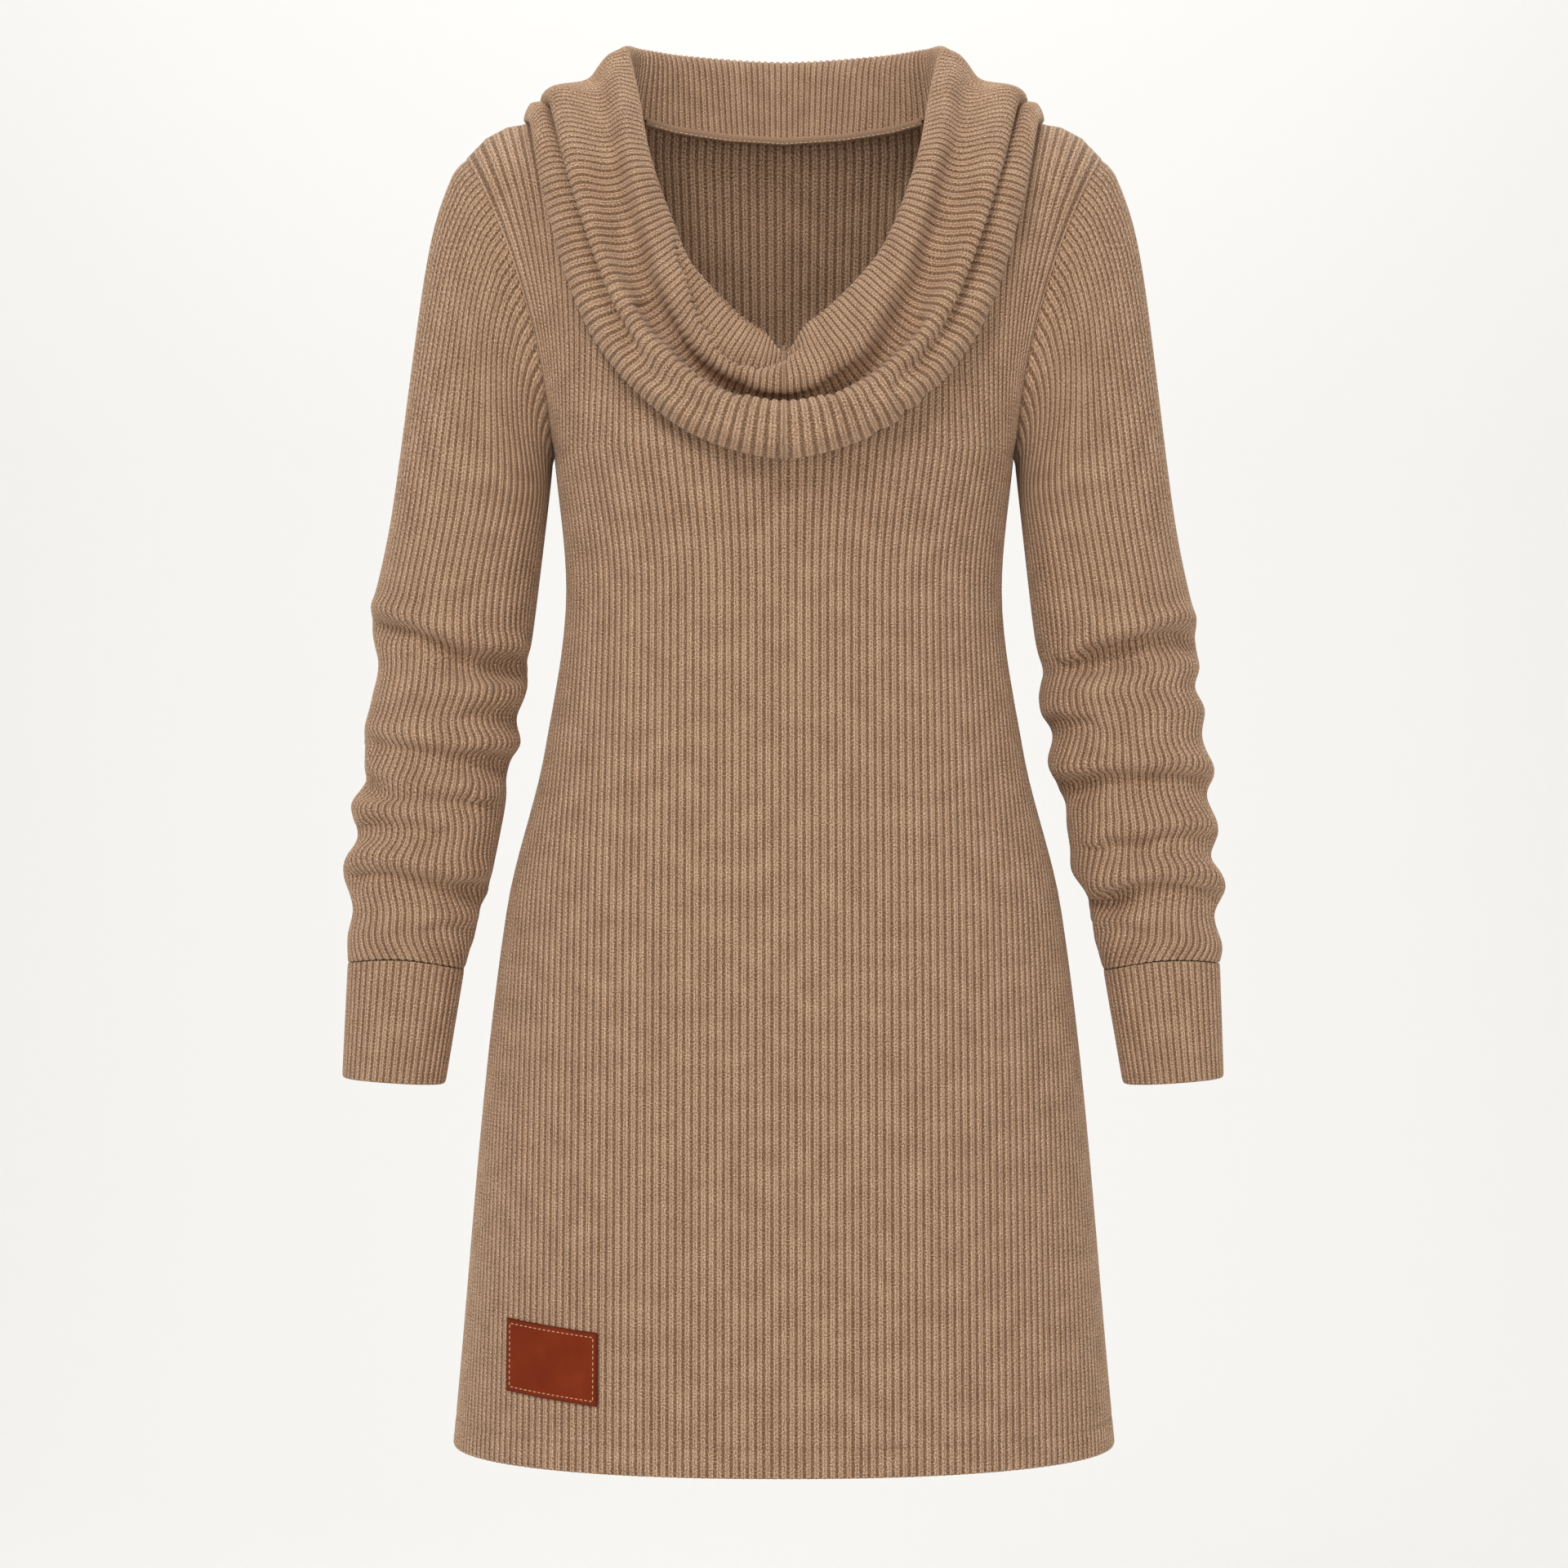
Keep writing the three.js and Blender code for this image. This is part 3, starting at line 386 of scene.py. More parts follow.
def oval_quarter(half_width, depth, count=400):
    """Points of a level section from the centre line to the side seam, and their share of its length."""
    angle = np.linspace(0, np.pi / 2, count)
    x = half_width * np.sin(angle) ** (2 / ROUNDNESS)
    y = depth * np.maximum(0, np.cos(angle)) ** (2 / ROUNDNESS)
    run = np.concatenate([[0], np.cumsum(np.hypot(np.diff(x), np.diff(y)))])
    return x, y, run


def neckline(which):
    """The right half of a neckline as fine points on the yoke, with their share of its length."""
    knots = NECKLINE[which]
    t = np.linspace(0, 1, 601)
    place = np.interp(t, [0, 1], [0, len(knots["x"]) - 1])
    x = np.interp(place, range(len(knots["x"])), knots["x"])
    z = np.interp(place, range(len(knots["x"])), knots["z"])
    points = np.stack([x, yoke_depth(which, x, z), z], -1)
    run = np.concatenate([[0], np.cumsum(np.linalg.norm(np.diff(points, axis=0), axis=1))])
    return points, run / run[-1]


def body_surface(which):
    """Returns the panel's surface as a function of row places and shares. A row place is a height up to the
    underarm, and above it the underarm height plus 200 times the share of the way up the yoke. A share is 0
    on the centre line and 1 or -1 on the side edges."""
    side = SIDE[which]
    edge_points, edge_run = neckline(which)
    under_x, _, under_run = oval_quarter(BODY_SECTIONS["half_width"][-1], BODY_SECTIONS[which][-1])
    tip_x = SHOULDER_SEAM["x"][-1]

    def surface(rows, shares):
        shares = np.clip(shares, -1, 1)
        out = np.zeros((*shares.shape, 3))
        for i, row in enumerate(rows):
            s = np.abs(shares[i])
            if row <= UNDERARM_Z:
                half_width = glide(BODY_SECTIONS["z"], BODY_SECTIONS["half_width"], row)
                depth = glide(BODY_SECTIONS["z"], BODY_SECTIONS[which], row)
                x, y, run = oval_quarter(half_width, depth)
                at = s * run[-1]
                out[i] = np.stack([np.interp(at, run, x), side * np.interp(at, run, y),
                                   np.full(len(s), row)], -1)
                continue
            up = min(1, (row - UNDERARM_Z) / YOKE_ROWS)
            edge = ring_point(ARMHOLE, ring_angle(np.array(up)), side)
            pull = edge[0] - (ARMHOLE["inner_x"] + (tip_x - ARMHOLE["inner_x"]) * up)
            neck = np.stack([np.interp(s / NECK_SHARE, edge_run, edge_points[:, k]) for k in (0, 2)], -1)
            start_x = SHOULDER_SEAM["x"][0]
            seam_x = start_x + (tip_x - start_x) * (s - NECK_SHARE) / (1 - NECK_SHARE)
            seam_z = np.interp(seam_x, SHOULDER_SEAM["x"], SHOULDER_SEAM["z"])
            on_neck = s < NECK_SHARE
            top_x, top_z = np.where(on_neck, neck[:, 0], seam_x), np.where(on_neck, neck[:, 1], seam_z)
            below = np.interp(s * under_run[-1], under_run, under_x)
            x = below + (top_x - below) * up + pull * s ** ARMHOLE_PULL_POWER
            z = UNDERARM_Z + (top_z - UNDERARM_Z) * up
            out[i] = np.stack([x, yoke_depth(which, x, z), z], -1)
            out[i, s >= 1] = edge
        out[..., 0] *= np.where(shares < 0, -1, 1)
        return out

    return surface


def half_girth(which, z):
    """Half the run round a panel at one height below the underarm."""
    half_width = float(glide(BODY_SECTIONS["z"], BODY_SECTIONS["half_width"], z))
    return oval_quarter(half_width, float(glide(BODY_SECTIONS["z"], BODY_SECTIONS[which], z)))[2][-1]


def level_rows():
    """Row places of a panel, closer together at the hem's fold and stitch line and over the shoulders."""
    hem = [-839, -838.6, -837.6, -835, -830, -825, -822.5, -821, -819.5, -817, -812]
    skirt = np.linspace(-804, WAIST_Z, 38)
    chest = np.linspace(WAIST_Z, UNDERARM_Z, 9)[1:]
    yoke = UNDERARM_Z + YOKE_ROWS * np.array([*np.linspace(0, 0.9, 24)[1:], 0.93, 0.96, 0.98, 1])
    return np.concatenate([hem, skirt, chest, yoke])


def make_panel(which):
    """The panel's shell. Columns stand a fifth of a rib apart, counted from the centre line; those past the
    side edge collapse onto it. The wall's inner points turn from square to the surface to the seam's plane
    at the armhole and to straight down at the shoulder seam, so that neighbours meet edge to edge."""
    side = SIDE[which]
    surface = body_surface(which)
    rows = level_rows()
    waist = half_girth(which, WAIST_Z)
    lengths = np.array([half_girth(which, z) if z < WAIST_Z else waist for z in rows])
    count = math.ceil(lengths.max() / COLUMN)
    key = np.arange(-count, count + 1)
    counted = lengths / COLUMN
    place = np.clip(key[None, :] / counted[:, None], -1, 1)
    share = np.abs(place)
    sign = np.where(place < 0, -1, 1)
    points = surface(rows, place)
    middle = np.stack([points[..., 0] * 0.35, np.zeros_like(share), points[..., 2]], -1)
    inset = np.clip(place, -0.995, 0.995)
    normals = outward(surface, rows, inset, middle, 0.5)
    up = np.clip((rows - UNDERARM_Z) / YOKE_ROWS, 0, 1)[:, None]
    # Side edges: straight out below the underarm, in the ring's plane along the armhole.
    angle = ring_angle(up)
    ring_out = unit(ring_point(ARMHOLE, np.clip(angle, 0.05, 3.09), side) - np.array([174, 0, -118]))
    ring_axis = unit(np.array(ARMHOLE_AXIS))
    ring_out = unit(ring_out - (ring_out @ ring_axis)[..., None] * ring_axis)
    edge_out = np.where(up[..., None] > 0, ring_out, np.array([1.0, 0, 0]))
    mirrored = np.stack([sign, np.ones_like(sign), np.ones_like(sign)], -1)
    edge_out = edge_out * mirrored
    near_edge = ease(0.965, 1, share)[..., None]
    normals = unit(normals * (1 - near_edge) + edge_out * near_edge)
    # Top edge: level on the neckline, straight down the wall on the shoulder seam.
    level_out = unit(points * np.array([1, 1, 0]))
    level_out = np.where(np.linalg.norm(level_out, axis=-1, keepdims=True) < 0.5, normals, level_out)
    on_seam = ease(NECK_SHARE, NECK_SHARE + 0.12, share)[..., None]
    top_offset = -level_out * CLOTH * (1 - on_seam) + np.array([0, 0, -SHOULDER_WALL]) * on_seam
    near_top = ease(0.93, 1, up)[..., None] * np.ones_like(share)[..., None]
    # Ribs run out a little at the seams, and the seams pull the cloth in.
    arc = (1 - share) * lengths[:, None]
    seam = np.exp(-(arc / 2.2) ** 2) + np.exp(-((rows[:, None] - HEM_Z - HEM_TURN) / 1.6) ** 2) * 0.55
    seam = seam + np.exp(-((1 - up) * YOKE_RUN / 2.5) ** 2)
    phase = key[None, :] / POINTS_PER_RIB
    fade = (0.25 + 0.75 * ease(0, 7, arc)) * (1 - 0.85 * near_top[..., 0])
    fold = 0.75 * ease(HEM_Z + 2, HEM_Z, rows)[:, None] ** 2
    depth = rib_depth(phase) * fade + 0.7 * np.minimum(seam, 1) * (1 - near_top[..., 0])
    under = CLOTH - rib_depth(phase + 0.5) * fade * (1 - near_top[..., 0])
    at_edge = (share >= 1)
    depth, under = np.where(at_edge, 0.6, depth) + fold, np.where(at_edge, CLOTH, under) - fold
    outer = points - normals * depth[..., None]
    inner = points - normals * under[..., None] * (1 - near_top) + top_offset * near_top
    gap = np.where(at_edge | ((up >= 1) & (share > NECK_SHARE)), HALF_GAP * side, 0)
    for face in (outer, inner):
        face[..., 1] += gap
        face[at_edge & (up > 0)] += (ring_axis * HALF_GAP * mirrored)[at_edge & (up > 0)]
    run = np.where(rows[:, None] < UNDERARM_Z, rows[:, None], UNDERARM_Z + up * YOKE_RUN)
    run = run * np.ones_like(share)
    uv = np.stack([place * counted[:, None] / POINTS_PER_RIB, run], -1)
    return cloth_shell(f"{which}_panel", outer, inner, uv, uv + np.array([0.5, 0]))


for which in SIDE:
    panel = make_panel(which)
    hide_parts(which)
    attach(panel, "root")

# Sleeves. Each is one knitted panel closed under the arm and set into the armhole. It narrows to the cuff,
# and its spare length lies in slanted folds round the forearm.
RING_COLUMNS = ("outer_x", "outer_z", "inner_x", "inner_z", "y", "depth", "bow")
SLEEVE_RINGS = {
    "sleeve_left": [
        (202, -23, 146, -213, 0, 58, 12),
        (214, -42, 147.5, -218, 0, 58, 7),
        (228, -96, 148, -224, 0, 57, 3),
        (249, -248, 151, -252, 0, 52, 0),
        (262.5, -317, 159.5, -322, -1, 52, 0),
        (257.8, -345, 164, -345, -2, 47, 0),
        (261.5, -366, 162, -360, -3, 51, 0),
        (265.2, -383, 170, -379, -4, 47, 0),
        (266.5, -398, 167.5, -395, -5, 49, 0),
        (265.8, -418, 175, -409, -6, 45, 0),
        (274.5, -434, 176, -428, -8, 49, 0),
        (270, -455, 180, -452, -10, 45, 0),
        (279.8, -477, 184.5, -474, -12, 47, 0),
        (272.8, -499, 189.5, -494, -15, 39, 0),
        (275.6, -517, 195, -515, -17, 37, 0),
        (275.5, -533.7, 202, -538, -18, 30, 0),
    ],
    "sleeve_right": [
        (202, -23, 146, -213, 0, 58, 12),
        (214, -42, 147.5, -218, 0, 58, 7),
        (228, -96, 148, -224, 0, 57, 3),
        (247.5, -248, 151, -252, 0, 52, 0),
        (260.5, -314, 159.5, -326, -1, 52, 0),
        (262.5, -331, 164.7, -348, -2, 47, 0),
        (264.2, -347, 163.5, -357, -3, 49, 0),
        (261, -360, 162.2, -366, -3, 50, 0),
        (267.1, -374, 164, -377, -4, 49, 0),
        (265.5, -392, 170.5, -389, -5, 46, 0),
        (272.9, -415, 167.8, -408, -6, 49, 0),
        (269, -429, 176.2, -427, -8, 44, 0),
        (275.2, -452, 179, -446, -10, 47, 0),
        (270.6, -468, 181.3, -461, -12, 45, 0),
        (279.4, -487, 182.5, -477, -14, 46, 0),
        (272.6, -505, 192.8, -493, -16, 38, 0),
        (276.8, -523, 195.3, -515, -17, 36, 0),
        (275.3, -534, 201.8, -538.5, -18, 30, 0),
    ],
}
BICEPS_RING = 3
SLEEVE_FOLDS = {
    "sleeve_left": [
        (10.1, 5.5, [(-268, -318), (-250, -323), (-232, -328), (-217, -335), (-196, -345),
            (-160, -346)]),
        (3.0, 4.4, [(-195, -378), (-172, -377)]),
        (6.1, 5.0, [(-262, -395), (-224, -402), (-203, -405), (-172, -407)]),
        (7.4, 5.0, [(-272, -419), (-240, -428), (-198, -432)]),
        (3.8, 5.0, [(-258, -447), (-224, -450)]),
        (9.5, 5.5, [(-282, -480), (-262, -476), (-245, -478), (-227, -482), (-208, -487), (-185, -488)]),
        (3.0, 4.4, [(-215, -512), (-196, -514)]),
    ],
    "sleeve_right": [
        (10.1, 5.5, [(190, -343), (215, -336), (232, -330), (251, -327), (268, -329)]),
        (3.0, 4.4, [(170, -382), (190, -384)]),
        (8.8, 5.0, [(173, -423), (196, -419), (226, -417), (250, -416), (270, -420)]),
        (6.1, 5.0, [(203, -460), (220, -460), (236, -455), (252, -454), (272, -455)]),
        (9.5, 5.5, [(203, -494), (218, -488), (238, -485), (258, -485), (276, -491)]),
        (3.0, 4.4, [(198, -514), (215, -514)]),
    ],
}
BACK_FOLD_DROP = 13
# Near the armhole the ribs lean up along the seam: by the largest share of the half ring, down to a reach.
RIB_LEAN = {"most": 0.15, "reach": 125}
# Down the middle of the forearm the ribs run straight past bulges shorter than this.
RIB_STEADY = 30
CUFF_ARCH = 4.5


def ring_table(rings, rows):
    """Each column of the ring table at row places between the rings: cubic pieces through every ring."""
    table = np.array(rings, float)
    table = np.concatenate([[2 * table[0] - table[1]], table, [2 * table[-1] - table[-2]]])
    i = np.clip(np.floor(rows).astype(int), 0, len(rings) - 2)
    t = (rows - i)[:, None]
    p0, p1, p2, p3 = (table[i + k] for k in range(4))
    value = p1 + 0.5 * t * (p2 - p0 + t * (2 * p0 - 5 * p1 + 4 * p2 - p3 + t * (3 * (p1 - p2) + p3 - p0)))
    return dict(zip(RING_COLUMNS, value.T))


def half_rings(table):
    """Fine points of each ring's front half from the outer point to the underarm, and their run in length."""
    upright = {name: column[:, None] for name, column in table.items()}
    points = ring_point(upright, np.linspace(0, np.pi, 240)[None, :], -1)
    run = np.cumsum(np.linalg.norm(np.diff(points, axis=1), axis=-1), axis=1)
    return points, np.concatenate([np.zeros((len(points), 1)), run], axis=1)


def ring_middle(table, mirror):
    """Middle of each ring, as a column of points."""
    return np.stack([mirror * (table["outer_x"] + table["inner_x"]) / 2, table["y"],
                     (table["outer_z"] + table["inner_z"]) / 2], -1)[:, None, :]


def tube_surface(rings, mirror):
    """A sleeve or cuff as a function of row places and shares round it: 0 on the outer line, negative over
    the front, positive over the back, 1 and -1 both on the underarm line."""

    def surface(rows, shares):
        shares = (shares + 1) % 2 - 1 if (np.abs(shares) > 1).any() else shares
        table = ring_table(rings, rows)
        points, run = half_rings(table)
        at = np.abs(shares) * run[:, -1:]
        out = np.stack([[np.interp(a, r, p[:, k]) for a, r, p in zip(at, run, points)] for k in range(3)], -1)
        out[..., 1] = np.where(shares > 0, 2 * table["y"][:, None] - out[..., 1], out[..., 1])
        out[..., 0] *= mirror
        return out

    return surface


def sleeve_rows(rings):
    """Row places and their runs down the middle of a sleeve: close at both seams, wide on the plain upper
    arm and close again in the folds."""
    fine = np.linspace(0, len(rings) - 1, 600)
    table = ring_table(rings, fine)
    middle = np.stack([table["outer_x"] + table["inner_x"], table["outer_z"] + table["inner_z"]], -1) / 2
    run = np.concatenate([[0], np.cumsum(np.linalg.norm(np.diff(middle, axis=0), axis=1))])
    seam = np.array([0, 0.8, 1.7, 2.8, 4.2, 6.2, 9])
    folds_start, folds_end = 150, run[-1] - seam[-1]
    folds = np.linspace(folds_start, folds_end, math.ceil((folds_end - folds_start) / 2.7) + 1)
    plain = np.linspace(seam[-1], folds_start, 24)[1:-1]
    along = np.concatenate([seam, plain, folds, run[-1] - seam[-2::-1]])
    return np.interp(along, run, fine), along


def steady_rings(table, along):
    """The ring table with the bulges of the forearm averaged out, by which its ribs are counted and led."""
    weights = np.exp(-((along[:, None] - along[None, :]) / RIB_STEADY) ** 2) * np.gradient(along)
    weights /= weights.sum(1, keepdims=True)
    part = ease(110, 150, along) * ease(along[-1], along[-1] - 25, along)
    return {name: column + part * (weights @ column - column) for name, column in table.items()}


def make_sleeve(name, mirror):
    """The sleeve's shell. Ribs keep their count down to the biceps and run straight below it, ending at the
    underarm line. The folds are those of the front, and lie a little lower on the back."""
    rings = SLEEVE_RINGS[name]
    rows, along = sleeve_rows(rings)
    surface = tube_surface(rings, mirror)
    table = ring_table(rings, rows)
    run = half_rings(table)[1]
    steady_run = half_rings(steady_rings(table, along))[1]
    length = steady_run[:, -1]
    biceps = np.interp(BICEPS_RING, rows, length)
    counted = np.where(rows < BICEPS_RING, biceps, length) / COLUMN
    count = math.ceil(counted.max())
    key = np.arange(-count, count)
    place = np.clip(key[None, :] / counted[:, None], -1, 1)
    ended = np.abs(place) >= 1
    lean = RIB_LEAN["most"] * np.clip(1 - along / RIB_LEAN["reach"], 0, 1)[:, None] ** 2
    away = np.abs(place)
    away = away - lean * 6.75 * away ** 2 * (1 - away)
    away = np.stack([np.interp(np.interp(a, even / even[-1], real), [0, real[-1]], [0, 1])
                     for a, even, real in zip(away, steady_run, run)])
    spot = np.where(ended, -1, np.sign(place) * away)
    points = surface(rows, spot)
    middle = ring_middle(table, mirror)
    normals = outward(surface, rows, spot, middle, 0.02)
    seam_plane = unit(np.array(ARMHOLE_AXIS) * (mirror, 1, 1))
    flat = unit(normals - (normals @ seam_plane)[..., None] * seam_plane)
    at_top = ease(5, 0, along)[:, None, None]
    normals = unit(normals * (1 - at_top) + flat * at_top)
    front = ease(0.35, -0.35, (points[..., 1] - middle[..., 1]) / table["depth"][:, None])
    ends = (ease(0, 60, along) * ease(along[-1], along[-1] - 14, along))[:, None]
    behind = [(depth, width, [(x, z - BACK_FOLD_DROP) for x, z in line])
              for depth, width, line in SLEEVE_FOLDS[name]]
    ends = ends * (0.25 + 0.75 * ease(0.02, 0.24, away) * ease(0.98, 0.8, away))
    points = creased(points, normals, SLEEVE_FOLDS[name], front * ends, above=0.38, below=0.1, skew=1.5)
    points = creased(points, normals, behind, 0.8 * (1 - front) * ends, above=0.38, below=0.1, skew=1.5)
    points[..., 2] += CUFF_ARCH * np.sin(np.pi * away) ** 2 * ease(along[-1] - 45, along[-1], along)[:, None]
    phase = key[None, :] / POINTS_PER_RIB
    seam = 2.0 * np.exp(-(along / 2.2) ** 2) + 0.6 * np.exp(-((along[-1] - along) / 1.6) ** 2)
    under_arm = (1 - np.abs(place)) * length[:, None]
    fade = (0.25 + 0.75 * ease(0, 6, under_arm)) * (0.3 + 0.7 * ease(0, 6, along))[:, None]
    depth = np.where(ended, 0.6, rib_depth(phase) * fade) + 0.7 * seam[:, None]
    under = CLOTH - np.where(ended, 0, rib_depth(phase + 0.5) * fade)
    shift = np.zeros((len(rows), 1, 3))
    shift[0] = seam_plane * HALF_GAP
    shift[-1, 0, 2] = HALF_GAP
    outer = points - normals * depth[..., None] + shift
    inner = points - normals * under[..., None] + shift
    wide = np.concatenate([place, np.ones((len(rows), 1))], 1)
    uv = np.stack([wide * counted[:, None] / POINTS_PER_RIB, -along[:, None] * np.ones_like(wide)], -1)
    return cloth_shell(f"{name}_knit", outer, inner, uv, uv + np.array([0.5, 0]), tube=True)


for name, mirror in (("sleeve_left", -1), ("sleeve_right", 1)):
    sleeve = make_sleeve(name, mirror)
    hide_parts(name)
    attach(sleeve, "root")

# Cuffs. A cuff is a doubled band of the same rib, folded at its lower edge and sewn to the gathered sleeve.
CUFF_PITCH = 4.7
CUFF_HEIGHT = 76
CUFF_RINGS = {
    "cuff_left": [(275.5, -533.7, 202, -538, -18, 30, 0), (278.7, -606, 213.8, -610.5, -21, 27, 0)],
    "cuff_right": [(275.3, -534, 201.8, -538.5, -18, 30, 0), (277.4, -606, 214, -610.5, -21, 27, 0)],
}


def make_cuff(name, mirror):
    """The cuff's shell: rings run straight from the seam to the fold, with a constant count of ribs. The top
    edge is pulled in by the seam, and the lower edge is a round fold."""
    rings = CUFF_RINGS[name]
    rows = np.array([0.004, 0.02, 0.05, 0.09, *np.linspace(0.15, 0.9, 14), 0.95, 0.975, 0.99])
    surface = tube_surface(rings, mirror)
    length = half_rings(ring_table(rings, rows))[1][:, -1]
    ribs = round(length[0] / CUFF_PITCH)
    key = np.arange(-ribs * POINTS_PER_RIB, ribs * POINTS_PER_RIB)
    place = np.ones((len(rows), 1)) * key[None, :] / (ribs * POINTS_PER_RIB)
    points = surface(rows, place)
    table = ring_table(rings, rows)
    middle = ring_middle(table, mirror)
    normals = outward(surface, rows, place, middle, 0.02)
    points[..., 2] += CUFF_ARCH * np.sin(np.pi * np.abs(place)) ** 2 * ease(0.75, 0, rows)[:, None]
    down = rows * CUFF_HEIGHT
    phase = key[None, :] / POINTS_PER_RIB
    fade = (0.35 + 0.65 * ease(0, 5, down) * ease(CUFF_HEIGHT, CUFF_HEIGHT - 5, down))[:, None]
    seam = 0.5 * np.exp(-(down / 1.6) ** 2)[:, None]
    fold = 0.5 * ease(CUFF_HEIGHT - 3, CUFF_HEIGHT, down)[:, None]
    depth = rib_depth(phase) * fade + 0.8 * seam + fold
    under = CLOTH + 0.2 - rib_depth(phase + 0.5) * 0.6 * fade - fold
    outer = points - normals * depth[..., None]
    inner = points - normals * under[..., None]
    wide = np.concatenate([place, np.ones((len(rows), 1))], 1)
    uv = np.stack([wide * ribs, -down[:, None] * np.ones_like(wide)], -1)
    return cloth_shell(f"{name}_knit", outer, inner, uv, uv + np.array([0.5, 0]),
                       tube=True, rounded=(False, True))


for name, mirror in (("cuff_left", -1), ("cuff_right", 1)):
    cuff = make_cuff(name, mirror)
    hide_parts(name)
    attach(cuff, "root")

# Cowl collar. A wide tube of the same rib is sewn to the neckline, stands up round the neck, folds over
# outwards and lies in two layers over shoulders and chest. Its ribs run across it, round the neck.
COWL_ROWS = ("edge", "roll", "trough", "ridge", "tuck", "lower", "hem")
COWL_NECK = [0, 0.045, 0.087, 0.156, 0.248, 0.372, 0.5, 0.6, 0.7, 0.75, 0.856, 1]
COWL_SECTIONS = [
    ((0, -112, -155), (0, -129, -175), (0, -120, -187), (0, -142, -199), (0, -143, -207),
     (0, -138, -216), (0, -126, -222)),
    ((10, -111, -144), (19, -126, -167), (26, -118, -182), (33, -139, -193), (36, -140, -200),
     (38, -135, -208), (40, -123, -213)),
    ((24, -109, -134), (38, -122, -153), (51, -114.5, -168), (61, -131, -178), (66, -132, -184),
     (70, -126, -190), (73, -114, -194)),
    ((48, -102, -110), (62, -114, -123), (76, -106, -132), (92, -114, -143), (95, -107, -147),
     (104, -108, -153), (108, -98, -157)),
    ((65, -93, -85), (77, -105, -93), (90, -96, -98), (112, -100, -103), (110, -92.5, -106),
     (124, -94, -110), (130, -86, -113)),
    ((83, -79, -36), (93, -88, -36), (106, -82, -38), (132, -84, -42), (128, -78.5, -45),
     (140, -79.5, -47), (148, -73, -50)),
    ((92, -36, 10), (102, -40, 13), (115, -36, 10), (145, -34, 7), (142, -31, -3), (152, -37, 1),
     (156.5, -43, -10)),
    ((97, -8, 34), (107, -8, 34), (121, -8, 27), (150, -8, 13.5), (146, -7, 3), (156.5, -11, 9),
     (160.5, -16, -2)),
    ((100, 16, 50), (111, 18, 46), (126, 18, 33), (152, 17, 15), (147, 17, 5), (158.5, 15, 12),
     (162, 14, 1)),
    ((90, 44, 54), (101, 50, 48), (112, 55, 33), (135, 59, 14), (127, 55, 8), (141, 57, 0),
     (147, 54, -11)),
    ((60, 68, 54), (67, 77, 50), (73, 84, 34), (88, 89, 8), (83, 82, 1), (92, 87, -12), (96, 83, -27)),
    ((0, 82, 53), (0, 91, 49), (0, 96, 32), (0, 98, 0), (0, 90, -6), (0, 98, -20), (0, 91, -36)),
]
COWL_SEAM_GAP = 1.4
COWL_STEPS = (7, 7, 9, 11, 6, 6, 6)
# Fullness of the folds: how far the cloth stands out, where along the section (1 is the first line of
# COWL_ROWS, 2 the next and so on) and over what stretch.
COWL_FULLNESS = [(1.8, 1.0, 0.5), (1.6, 2.0, 0.4), (-2.4, 3.0, 0.32), (4.0, 3.75, 0.38), (1.6, 4.3, 0.4),
                 (2.6, 6.2, 0.7)]
# At the front the inner roll hangs over the outer one: moves in y and z, their place along the section and
# their reach, in full between two x places and faded out over the next stretch.
COWL_OVERHANG = {
    "moves": [(-4.0, -4.0, 2.45, 0.28), (3.0, 0.0, 3.0, 0.2), (-7.0, 1.0, 3.4, 0.2)],
    "from_x": -48, "to_x": 34, "fade": 38,
}
# On the viewer's left a strip of the cowl lies lower than the rest, between the neck edge and this line.
COWL_STRIP = {
    "drop": 3.4, "groove": 4.5, "lip": 2.4,
    "line": [(-70, -72), (-66, -88), (-63, -102), (-59, -112), (-53, -132), (-47, -145), (-39, -158),
        (-28, -166), (-16, -168.5), (-7, -168), (2, -162), (9, -155), (14, -148)],
}
# Lines on the front of the cowl: the gap under the inner roll, its crest (raised, so the depth is
# negative), the soft troughs on both sides, and small wrinkles on the outer roll.
COWL_FOLDS = [
    (3.5, 3.2, [(-84, -128), (-69, -148), (-59, -162), (-50, -170), (-39, -177), (-28, -182)]),
    (3.5, 3.2, [(28, -181), (42, -172), (54, -165), (68, -152), (80, -138)]),
    (-2.6, 6, [(-72, -112), (-60, -143), (-48, -160), (-30, -172), (-13, -177), (3, -177), (18, -172),
        (32, -162), (46, -147), (58, -130)]),
    (2.5, 8, [(108, -40), (100, -78), (86, -112), (72, -142)]),
    (2.8, 7, [(-110, -50), (-104, -80), (-88, -118), (-74, -142)]),
    (2.2, 3.2, [(-92, -166), (-69, -183), (-52, -198)]),
    (1.6, 3.0, [(-73, -166), (-60, -184), (-44, -198)]),
    (2.4, 3.4, [(76, -170), (68, -183), (74, -196)]),
    (1.8, 3.0, [(90, -156), (82, -170), (86, -184)]),
    (1.8, 3.0, [(60, -178), (52, -192), (56, -204)]),
]


def closed_curve(points, turns):
    """Points at turns from 0 to 1 on a smooth closed curve through evenly counted knots."""
    count = len(points)
    place = (turns % 1) * count
    i = np.floor(place).astype(int)
    t = (place - i)[:, None]
    p0, p1, p2, p3 = (points[(i + k) % count] for k in (-1, 0, 1, 2))
    return p1 + 0.5 * t * (p2 - p0 + t * (2 * p0 - 5 * p1 + 4 * p2 - p3 + t * (3 * (p1 - p2) + p3 - p0)))


